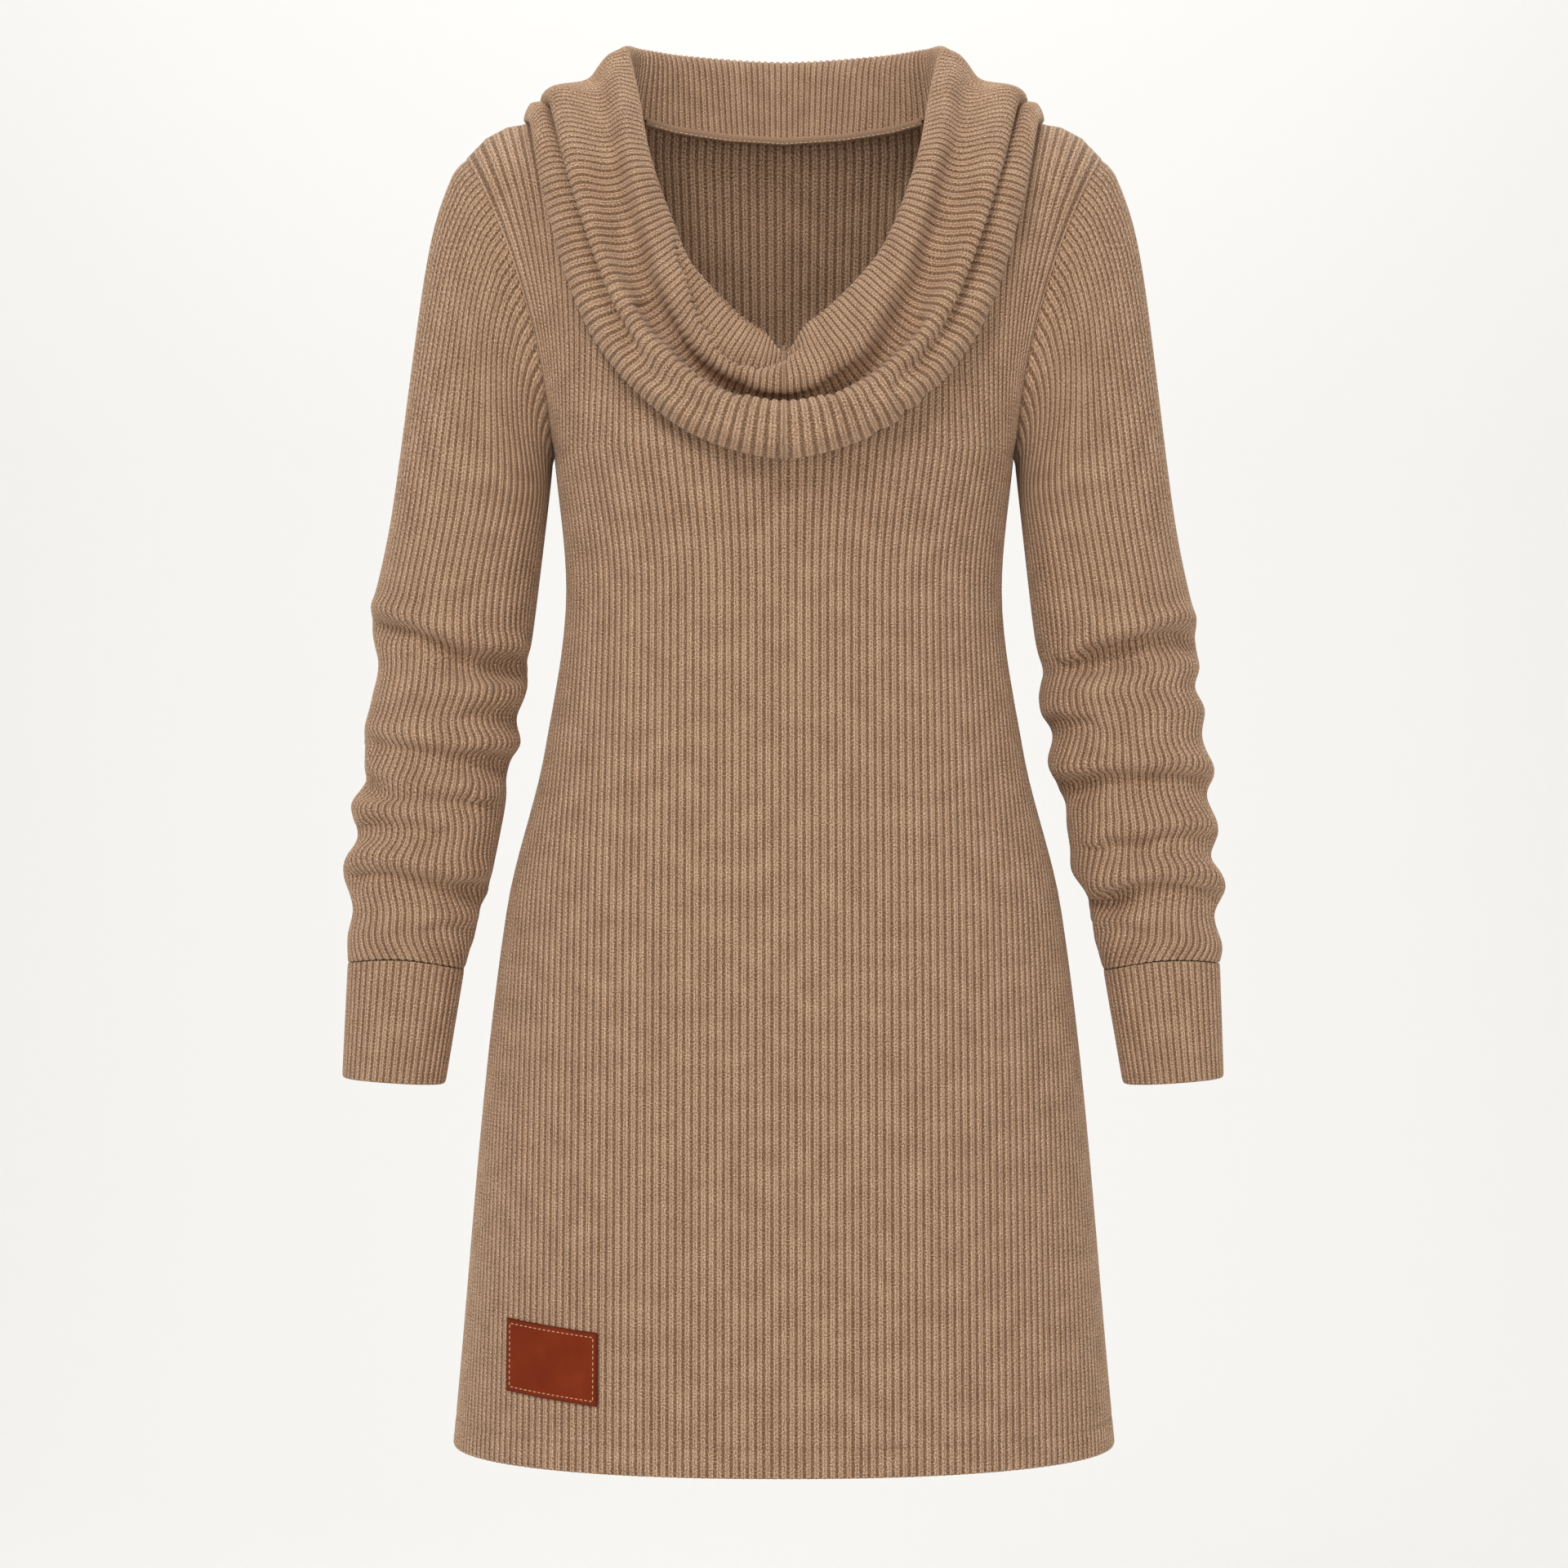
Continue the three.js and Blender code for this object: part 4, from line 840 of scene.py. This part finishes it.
def cowl_guides(turns):
    """The lines round the neck that the cowl passes through, seam first, at turns from 0 at the front centre
    over the wearer's side at +X. The left half mirrors the right one."""
    half = np.where(turns <= 0.5, turns * 2, (1 - turns) * 2)
    neck = np.interp(half * (len(COWL_NECK) - 1), range(len(COWL_NECK)), COWL_NECK)
    front, _ = neckline("front")
    back, _ = neckline("back")
    loop = np.concatenate([front, back[-2::-1]])
    run = np.concatenate([[0], np.cumsum(np.linalg.norm(np.diff(loop, axis=0), axis=1))])
    run /= run[-1]

    def on_loop(share):
        return np.stack([np.interp(share, run, loop[:, k]) for k in range(3)], -1)

    seam = on_loop(neck)
    inward = unit(-seam * np.array([1, 1, 0]))
    away = unit(np.cross(on_loop(np.minimum(1, neck + 0.01)) - on_loop(np.maximum(0, neck - 0.01)), inward))
    start = seam + away * COWL_SEAM_GAP + inward * CLOTH
    start[:, 0] *= np.where(turns <= 0.5, 1, -1)
    guides = [start]
    table = np.array(COWL_SECTIONS, float)
    for k in range(len(COWL_ROWS)):
        right = table[:, k]
        left = right[-2:0:-1] * np.array([-1, 1, 1])
        guides.append(closed_curve(np.concatenate([right, left]), turns))
    return np.stack(guides)


def thread(knots, steps):
    """Rows through each column of knots: cubic pieces whose speed follows the square root of the distance
    between knots, so that close knots make no loops. steps has the number of rows in each piece."""
    gap = np.sqrt(np.linalg.norm(np.diff(knots, axis=0), axis=-1, keepdims=True))
    knots = np.concatenate([[2 * knots[0] - knots[1]], knots, [2 * knots[-1] - knots[-2]]])
    gap = np.concatenate([gap[:1], gap, gap[-1:]])
    rows = []
    for k, count in enumerate(steps):
        p0, p1, p2, p3 = knots[k:k + 4]
        d0, d1, d2 = gap[k:k + 3]
        m1 = d1 * ((p1 - p0) / d0 - (p2 - p0) / (d0 + d1) + (p2 - p1) / d1)
        m2 = d1 * ((p2 - p1) / d1 - (p3 - p1) / (d1 + d2) + (p3 - p2) / d2)
        t = (np.arange(count) / count)[:, None, None]
        rows.append(p1 * (1 + 2 * t) * (1 - t) ** 2 + m1 * t * (1 - t) ** 2
                    + p2 * t * t * (3 - 2 * t) - m2 * t * t * (1 - t))
    return np.concatenate([*rows, knots[-2][None]])


def softened(points, passes):
    """Rows drawn to the mean of their neighbours a few times over, which rounds the folds between them."""
    for _ in range(passes):
        points[1:-1] = (points[:-2] + 2 * points[1:-1] + points[2:]) / 4
    return points


def cowl_normals(points):
    """Unit normals of the cowl's ribbed face, from its neighbouring columns and rows."""
    around = np.roll(points, -1, axis=1) - np.roll(points, 1, axis=1)
    return -unit(np.cross(around, np.gradient(points, axis=0)))


def make_cowl():
    """The cowl's shell: its columns stand a fifth of a rib apart along the trough, and its rows run across
    the cloth from the seam to the outer fold."""
    fine = np.linspace(0, 1, 2001)
    trough = cowl_guides(fine)[1 + COWL_ROWS.index("trough")]
    run = np.concatenate([[0], np.cumsum(np.linalg.norm(np.diff(trough, axis=0), axis=1))])
    ribs = round(run[-1] / RIB_PITCH)
    columns = ribs * POINTS_PER_RIB
    turns = np.interp(np.arange(columns) / columns * run[-1], run, fine)
    points = softened(thread(cowl_guides(turns), COWL_STEPS), 3)
    section = np.concatenate([k + np.arange(count) / count for k, count in enumerate(COWL_STEPS)] + [[7]])
    full = sum(out * np.exp(-((section - place) / reach) ** 2) for out, place, reach in COWL_FULLNESS)
    points = points + cowl_normals(points) * full[:, None, None]
    at_front = ease(20, -30, points[..., 1])
    x = points[..., 0]
    hang = at_front * ease(COWL_OVERHANG["from_x"] - COWL_OVERHANG["fade"], COWL_OVERHANG["from_x"], x)
    hang = hang * ease(COWL_OVERHANG["to_x"] + COWL_OVERHANG["fade"], COWL_OVERHANG["to_x"], x)
    for out, up, place, reach in COWL_OVERHANG["moves"]:
        bell = hang * np.exp(-((section - place) / reach) ** 2)[:, None]
        points = points + bell[..., None] * np.array([0, out, up])
    points = creased(points, cowl_normals(points), COWL_FOLDS, ease(1.1, 1.6, section)[:, None] * at_front,
                     above=0.1, below=0.1)
    distance, offset, way = from_line(points, COWL_STRIP["line"])
    inside = distance * np.sign(offset[..., 0] * way[..., 1] - offset[..., 1] * way[..., 0])
    groove = COWL_STRIP["groove"] * np.exp(-((inside + 1.2) / 1.9) ** 2)
    lower = COWL_STRIP["drop"] * ease(1.5, -1.5, inside) + groove
    lower -= COWL_STRIP["lip"] * np.exp(-((inside - 4.5) / 3.4) ** 2)
    lower *= ease(0.2, 0.8, section)[:, None] * ease(2.9, 2.5, section)[:, None] * at_front
    lower *= ease(-78, -108, points[..., 2]) * ease(16, 2, points[..., 0])
    points = points - cowl_normals(points) * lower[..., None]
    normals = cowl_normals(points)
    steps = np.linalg.norm(np.diff(points, axis=0), axis=-1)
    along = np.concatenate([np.zeros((1, columns)), np.cumsum(steps, 0)])
    phase = np.arange(columns)[None, :] / POINTS_PER_RIB
    hem = along[-1] - along
    fade = (0.3 + 0.7 * ease(0, 5, along)) * (0.45 + 0.55 * ease(0, 4, hem))
    swell = 2.4 * ease(11, 1, hem)
    depth = rib_depth(phase) * fade - swell
    under = CLOTH + 0.5 * swell - rib_depth(phase + 0.5) * fade * 0.8
    outer = points - normals * depth[..., None]
    inner = points - normals * under[..., None]
    wide = np.arange(columns + 1)[None, :] / POINTS_PER_RIB * np.ones((len(points), 1))
    down = np.concatenate([along, along[:, :1]], 1)
    uv = np.stack([wide, down], -1)
    return cloth_shell("cowl_knit", outer, inner, uv, uv + np.array([0.5, 0]),
                       tube=True, rounded=(False, True))


cowl = make_cowl()
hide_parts("cowl_collar")
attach(cowl, "root")

# Neck binding. A narrow tape of the same yarn covers the seam of back and collar inside the neck, with a
# row of stitches along its lower edge.
BINDING = {"half_width": 92, "height": 5, "thickness": 1.0, "clear": 0.55, "columns": 184, "bulge": 0.9}


def binding_line(places, lift, depth):
    """Points inside the back neckline at x places, lifted above the seam and moved towards the neck."""
    x = np.abs(places)
    z = np.interp(x, NECKLINE["back"]["x"], NECKLINE["back"]["z"])
    point = np.stack([x, yoke_depth("back", x, z), z], -1)
    point += unit(-point * np.array([1, 1, 0])) * (2.6 + BINDING["clear"] + depth)
    point[:, 2] += lift
    point[:, 0] *= np.sign(places)
    return point


def tape_material():
    """Felted brown yarn without ribs: fine mottling only."""
    material, shader = new_material("Felted neck tape", 0.92, 0.3, (0.85, 0.72, 0.6))
    tree = material.node_tree
    uv = tree.nodes.new("ShaderNodeUVMap")
    uv.uv_map = "ribs"
    fuzz = noise(tree, uv.outputs[0], 2.6, 3, (1, 0.8, 1))
    tree.links.new(colour_ramp(tree, fuzz, [(0.3, (0.22, 0.125, 0.07)), (0.7, (0.5, 0.32, 0.2))]),
                   shader.inputs["Base Color"])
    return material


def make_binding():
    """The tape: it swells in the middle of its height by a parabola, with a fine twill along it."""
    places = np.linspace(-BINDING["half_width"], BINDING["half_width"], BINDING["columns"] + 1)
    rise = np.linspace(-0.5, 0.5, 7)
    twill = 0.12 * np.sin(places * 2 * np.pi / 2.4)
    outer = np.stack([binding_line(places, r * BINDING["height"],
                                   BINDING["thickness"] + (BINDING["bulge"] + twill)[:, None] * (1 - 4 * r * r))
                      for r in rise])
    inner = np.stack([binding_line(places, r * BINDING["height"], 0) for r in rise])
    uv = np.stack(np.meshgrid(places / 2.4, rise * 5), -1)
    return cloth_shell("neck_tape", outer, inner, uv, uv, material=tape_material())


def stitch_row(name, starts, ends, radius, lift, material):
    """One mesh of short stitches, each a spindle of five sides from its start to its end that rises to lift
    off the cloth in the middle. lift is an array of vectors."""
    rings, sides = 5, 5
    t = np.linspace(0, 1, rings)
    girth = radius * np.array([0.35, 0.85, 1, 0.85, 0.35])
    line = starts[:, None] + (ends - starts)[:, None] * t[None, :, None]
    line = line + lift[:, None] * np.sin(np.pi * t)[None, :, None]
    way = unit(ends - starts)
    up = unit(lift)
    beside = unit(np.cross(way, up))
    angle = np.arange(sides) * 2 * np.pi / sides
    ring = (np.cos(angle)[:, None] * beside[:, None, None] + np.sin(angle)[:, None] * up[:, None, None])
    points = line[:, :, None] + ring * girth[None, :, None, None]
    number = len(starts)
    first = (np.arange(number) * rings * sides)[:, None, None]
    r, s = np.meshgrid(np.arange(rings - 1), np.arange(sides), indexing="ij")
    quads = np.stack([first + r * sides + s, first + r * sides + (s + 1) % sides,
                      first + (r + 1) * sides + (s + 1) % sides,
                       first + (r + 1) * sides + s], -1).reshape(-1, 4)
    low = (first[:, 0] + np.arange(sides)[::-1]).reshape(-1)
    high = (first[:, 0] + (rings - 1) * sides + np.arange(sides)).reshape(-1)
    faces = np.concatenate([quads.ravel(), low, high])
    sizes = np.concatenate([np.full(len(quads), 4), np.full(2 * number, sides)])
    flat = points.reshape(-1, 3)
    a, b, c, d = (flat[quads[:, k]] for k in range(4))
    if ((np.cross(a, b) * c).sum() + (np.cross(a, c) * d).sum()) < 0:
        faces = np.concatenate([quads[:, ::-1].ravel(), low.reshape(-1, sides)[:, ::-1].ravel(),
                                high.reshape(-1, sides)[:, ::-1].ravel()])
    uv = np.stack([faces % sides / sides, faces % 7 / 7], -1)
    return put_mesh(name, flat, faces, sizes, uv, material)


def thread_material(name, colour):
    """Matt sewing thread in one colour."""
    material, shader = new_material(name, 0.7, 0.1, (1, 1, 1))
    shader.inputs["Base Color"].default_value = (*colour, 1)
    return material


TAPE_THREAD = thread_material("Light sewing thread", (0.8, 0.58, 0.4))
binding = make_binding()
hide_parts("neck_binding")
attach(binding, "root")
places = np.arange(-88, 88, 3.3)
lift = unit(-binding_line(places, 0, 0) * np.array([1, 1, 0])) * 0.35
binding_stitches = stitch_row(
    "neck_binding_stitches", binding_line(places, -1.5, BINDING["thickness"] + 0.5),
    binding_line(places + 2.2, -1.5, BINDING["thickness"] + 0.5), 0.36, lift, TAPE_THREAD)
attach(binding_stitches, "root")

# Hem. The lower edge of front and back is turned up inside and held by one line of stitches, which shows
# outside as short dashes in a shallow groove.
TAN_THREAD = thread_material("Tan sewing thread", (0.30, 0.19, 0.12))
HEM_STITCH = {"z": HEM_Z + HEM_TURN, "pitch": 3.4, "length": 2.2, "radius": 0.28}


def skirt_point(z, run, which, out):
    """Point on the skirt at a height and a run from the centre line, moved out square to the level oval."""
    half_width = float(glide(BODY_SECTIONS["z"], BODY_SECTIONS["half_width"], z))
    depth = float(glide(BODY_SECTIONS["z"], BODY_SECTIONS[which], z))
    x, y, length = oval_quarter(half_width, depth)
    at = np.minimum(np.abs(run), length[-1])
    px, py = np.interp(at, length, x), np.interp(at, length, y)
    nx = (px / half_width) ** (ROUNDNESS - 1) / half_width
    ny = (py / depth) ** (ROUNDNESS - 1) / depth
    normal = unit(np.stack([np.sign(run) * nx, SIDE[which] * ny, np.zeros_like(nx)], -1))
    return np.stack([np.sign(run) * px, SIDE[which] * py, np.full(len(run), z)], -1) + normal * out, normal


starts, ends, lifts = [], [], []
for which in SIDE:
    reach = half_girth(which, HEM_STITCH["z"])
    runs = np.arange(-reach + 2, reach - 3, HEM_STITCH["pitch"])
    first, normal = skirt_point(HEM_STITCH["z"], runs, which, -0.75)
    last, _ = skirt_point(HEM_STITCH["z"], runs + HEM_STITCH["length"], which, -0.75)
    starts.append(first)
    ends.append(last)
    lifts.append(normal * 0.4)
hem_stitches = stitch_row("hem_stitches", np.concatenate(starts), np.concatenate(ends), HEM_STITCH["radius"],
                          np.concatenate(lifts), TAN_THREAD)
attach(hem_stitches, "root")

# Leather patch. A blank rectangle of rust-brown leather with pressed-down edges, held by a dashed saddle
# stitch of pale waxed thread all round.
PATCH = {"from_x": -170, "to_x": -113, "top_z": -750, "height": 44, "tilt": 0.08,
         "thickness": 1.4, "clear": 0.4}
PATCH_STITCH = {"inset": 2.9, "pitch": 3.6, "length": 2.2, "radius": 0.36}


def patch_points(across, down, out):
    """Points over the patch from shares across and down it, moved out from the front panel."""
    x = PATCH["from_x"] + (PATCH["to_x"] - PATCH["from_x"]) * across
    z = PATCH["top_z"] - down * PATCH["height"] - PATCH["tilt"] * (x - PATCH["from_x"])
    half_width = np.interp(z, BODY_SECTIONS["z"][:2], BODY_SECTIONS["half_width"][:2])
    depth = np.interp(z, BODY_SECTIONS["z"][:2], BODY_SECTIONS["front"][:2])
    y = -depth * (1 - np.abs(x / half_width) ** ROUNDNESS) ** (1 / ROUNDNESS)
    nx = np.sign(x) * np.abs(x / half_width) ** (ROUNDNESS - 1) / half_width
    ny = -np.abs(y / depth) ** (ROUNDNESS - 1) / depth
    normal = unit(np.stack([nx, ny, np.zeros_like(nx)], -1))
    return np.stack([x, y, z], -1) + normal * out[..., None], normal


def leather_material():
    """Rust-brown leather: broad mottling, darker towards the edges by the patch's own map, and a fine grain."""
    material, shader = new_material("Rust leather", 0.62, 0.0, (1, 1, 1))
    shader.inputs["Specular IOR Level"].default_value = 0.15
    tree = material.node_tree
    uv = tree.nodes.new("ShaderNodeUVMap")
    uv.uv_map = "ribs"
    split = tree.nodes.new("ShaderNodeSeparateXYZ")
    tree.links.new(uv.outputs[0], split.inputs[0])
    edges = [math_node(tree, "ABSOLUTE", math_node(tree, "SUBTRACT", split.outputs[k], 0.5)) for k in (0, 1)]
    doubled = [math_node(tree, "MULTIPLY", edge, 2) for edge in edges[:2]]
    rim = math_node(tree, "MAXIMUM", *doubled)
    mottle = noise(tree, uv.outputs[0], 2.2, 2, (1.3, 1, 1))
    grain = noise(tree, uv.outputs[0], 60, 3, (1.3, 1, 1))
    base = colour_ramp(tree, mottle, [(0.3, (0.185, 0.020, 0.003)), (0.7, (0.235, 0.030, 0.004))])
    dark = colour_ramp(tree, rim, [(0.93, (1, 1, 1)), (1.0, (0.55, 0.5, 0.5))])
    tree.links.new(mix_colour(tree, "MULTIPLY", 1.0, base, dark), shader.inputs["Base Color"])
    bump = tree.nodes.new("ShaderNodeBump")
    bump.inputs["Strength"].default_value = 0.5
    bump.inputs["Distance"].default_value = 0.0003
    tree.links.new(grain, bump.inputs["Height"])
    tree.links.new(bump.outputs[0], shader.inputs["Normal"])
    return material


def make_patch():
    """The patch: its face rounds down to its edges and is pressed in along the stitch line."""
    edge = np.array([0, 0.004, 0.012, 0.025, 0.035, 0.045, 0.055, 0.075])
    across = np.concatenate([edge, np.linspace(0.1, 0.9, 17), 1 - edge[::-1]])
    down = across
    a, d = np.meshgrid(across, down)
    rim = np.minimum(np.minimum(a, 1 - a) * 58, np.minimum(d, 1 - d) * 44)
    pressed = 0.3 * np.exp(-((rim - PATCH_STITCH["inset"]) / 0.7) ** 2)
    face = PATCH["thickness"] - 0.55 * (1 - ease(0, 1.4, rim)) - pressed
    outer, _ = patch_points(a, d, PATCH["clear"] + face)
    inner, _ = patch_points(a, d, PATCH["clear"] + np.zeros_like(a))
    uv = np.stack([a, d], -1)
    return cloth_shell("blank_patch", outer, inner, uv, uv, material=leather_material())


PALE_THREAD = thread_material("Pale waxed thread", (0.74, 0.42, 0.24))
patch = make_patch()
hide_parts("leather_patch")
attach(patch, "root")


def patch_stitch_runs():
    """Start and end shares of the stitches along the four sides, as one list of across and down."""
    width, height = 70.0, PATCH["height"]
    inset_a, inset_d = PATCH_STITCH["inset"] / width, PATCH_STITCH["inset"] / height
    sides = []
    for length, build in (
        (width, lambda t: (inset_a + (1 - 2 * inset_a) * t, np.full_like(t, inset_d))),
        (height, lambda t: (np.full_like(t, 1 - inset_a), inset_d + (1 - 2 * inset_d) * t)),
        (width, lambda t: (inset_a + (1 - 2 * inset_a) * t, np.full_like(t, 1 - inset_d))),
        (height, lambda t: (np.full_like(t, inset_a), inset_d + (1 - 2 * inset_d) * t)),
    ):
        inner = length - 2 * PATCH_STITCH["inset"]
        count = round(inner / PATCH_STITCH["pitch"])
        t = (np.arange(count) + 0.2) / count
        sides.append((build(t), build(t + PATCH_STITCH["length"] / inner)))
    return [np.concatenate([side[end][k] for side in sides]) for end in (0, 1) for k in (0, 1)]


start_a, start_d, end_a, end_d = patch_stitch_runs()
top = np.full(len(start_a), PATCH["clear"] + PATCH["thickness"] - 0.25)
first, normal = patch_points(start_a, start_d, top)
last, _ = patch_points(end_a, end_d, top)
patch_stitches = stitch_row("patch_stitches", first, last, PATCH_STITCH["radius"], normal * 0.3, PALE_THREAD)
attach(patch_stitches, "root")

# The room: a pale sweep that rises behind the dress, a bright even sky and wide soft lamps, and the camera
# straight in front of the dress, a little below the middle of its chest.
BACKDROP = {"half_width": 9.0, "front": -5.0, "back": 4.0, "floor": -1.35, "top": 6.0, "bend": 1.5}


def make_backdrop():
    """A floor that bends up into a wall: a profile of a line, a quarter circle and a line, carried sideways."""
    bend = np.linspace(0, np.pi / 2, 25)
    y = np.concatenate([[BACKDROP["front"]], BACKDROP["back"] - BACKDROP["bend"] * (1 - np.sin(bend)),
                        [BACKDROP["back"]]])
    z = np.concatenate([[BACKDROP["floor"]], BACKDROP["floor"] + BACKDROP["bend"] * (1 - np.cos(bend)),
                        [BACKDROP["top"]]])
    x = np.array([-BACKDROP["half_width"], BACKDROP["half_width"]])
    points = np.stack([np.repeat(x, len(y)), np.tile(y, 2), np.tile(z, 2)], -1)
    count = len(y)
    i = np.arange(count - 1)
    faces = np.stack([i, i + count, i + count + 1, i + 1], -1)
    mesh = bpy.data.meshes.new("backdrop")
    mesh.from_pydata(points.tolist(), [], faces.tolist())
    mesh.polygons.foreach_set("use_smooth", np.ones(len(faces), bool))
    material, shader = new_material("Pale paper", 0.95, 0.0, (1, 1, 1))
    shader.inputs["Base Color"].default_value = (0.93, 0.92, 0.905, 1)
    shader.inputs["Specular IOR Level"].default_value = 0.0
    mesh.materials.append(material)
    backdrop = bpy.data.objects.new("backdrop", mesh)
    bpy.context.collection.objects.link(backdrop)
    return backdrop


make_backdrop()

world = bpy.data.worlds.new("Pale studio")
world.use_nodes = True
world.node_tree.nodes["Background"].inputs["Color"].default_value = (1.0, 0.99, 0.975, 1)
world.node_tree.nodes["Background"].inputs["Strength"].default_value = 0.5
bpy.context.scene.world = world
bpy.context.scene.view_settings.view_transform = "Standard"

LAMPS = {
    "key_lamp": {"place": (-1.0, -2.9, 2.1), "size": 1.4, "power": 60, "aim": (0, 0, -0.35)},
    "fill_lamp": {"place": (1.4, -3.2, 0.2), "size": 2.0, "power": 16, "aim": (0, 0, -0.35)},
    "wall_lamp": {"place": (0, 1.2, 3.2), "size": 3.0, "power": 50, "aim": (0, 4.0, -0.2)},
    "floor_lamp": {"place": (0, 1.4, 2.4), "size": 3.0, "power": 18, "aim": (0, 3.2, -1.35)},
}
for name, lamp in LAMPS.items():
    light = bpy.data.lights.new(name, "AREA")
    light.shape = "DISK"
    light.size = lamp["size"]
    light.energy = lamp["power"]
    holder = bpy.data.objects.new(name, light)
    holder.location = lamp["place"]
    aim = np.array(lamp["aim"]) - np.array(lamp["place"])
    tip = math.atan2(math.hypot(aim[0], aim[1]), -aim[2])
    holder.rotation_euler = (tip, 0, math.atan2(aim[0], -aim[1]) + math.pi)
    bpy.context.collection.objects.link(holder)

camera = bpy.data.cameras.new("camera")
camera.sensor_width = 36
camera.lens = 36 * 2.44 / 0.9984
holder = bpy.data.objects.new("camera", camera)
holder.location = (0, -2.44, -0.4212)
holder.rotation_euler = (math.pi / 2, 0, 0)
bpy.context.collection.objects.link(holder)
bpy.context.scene.camera = holder
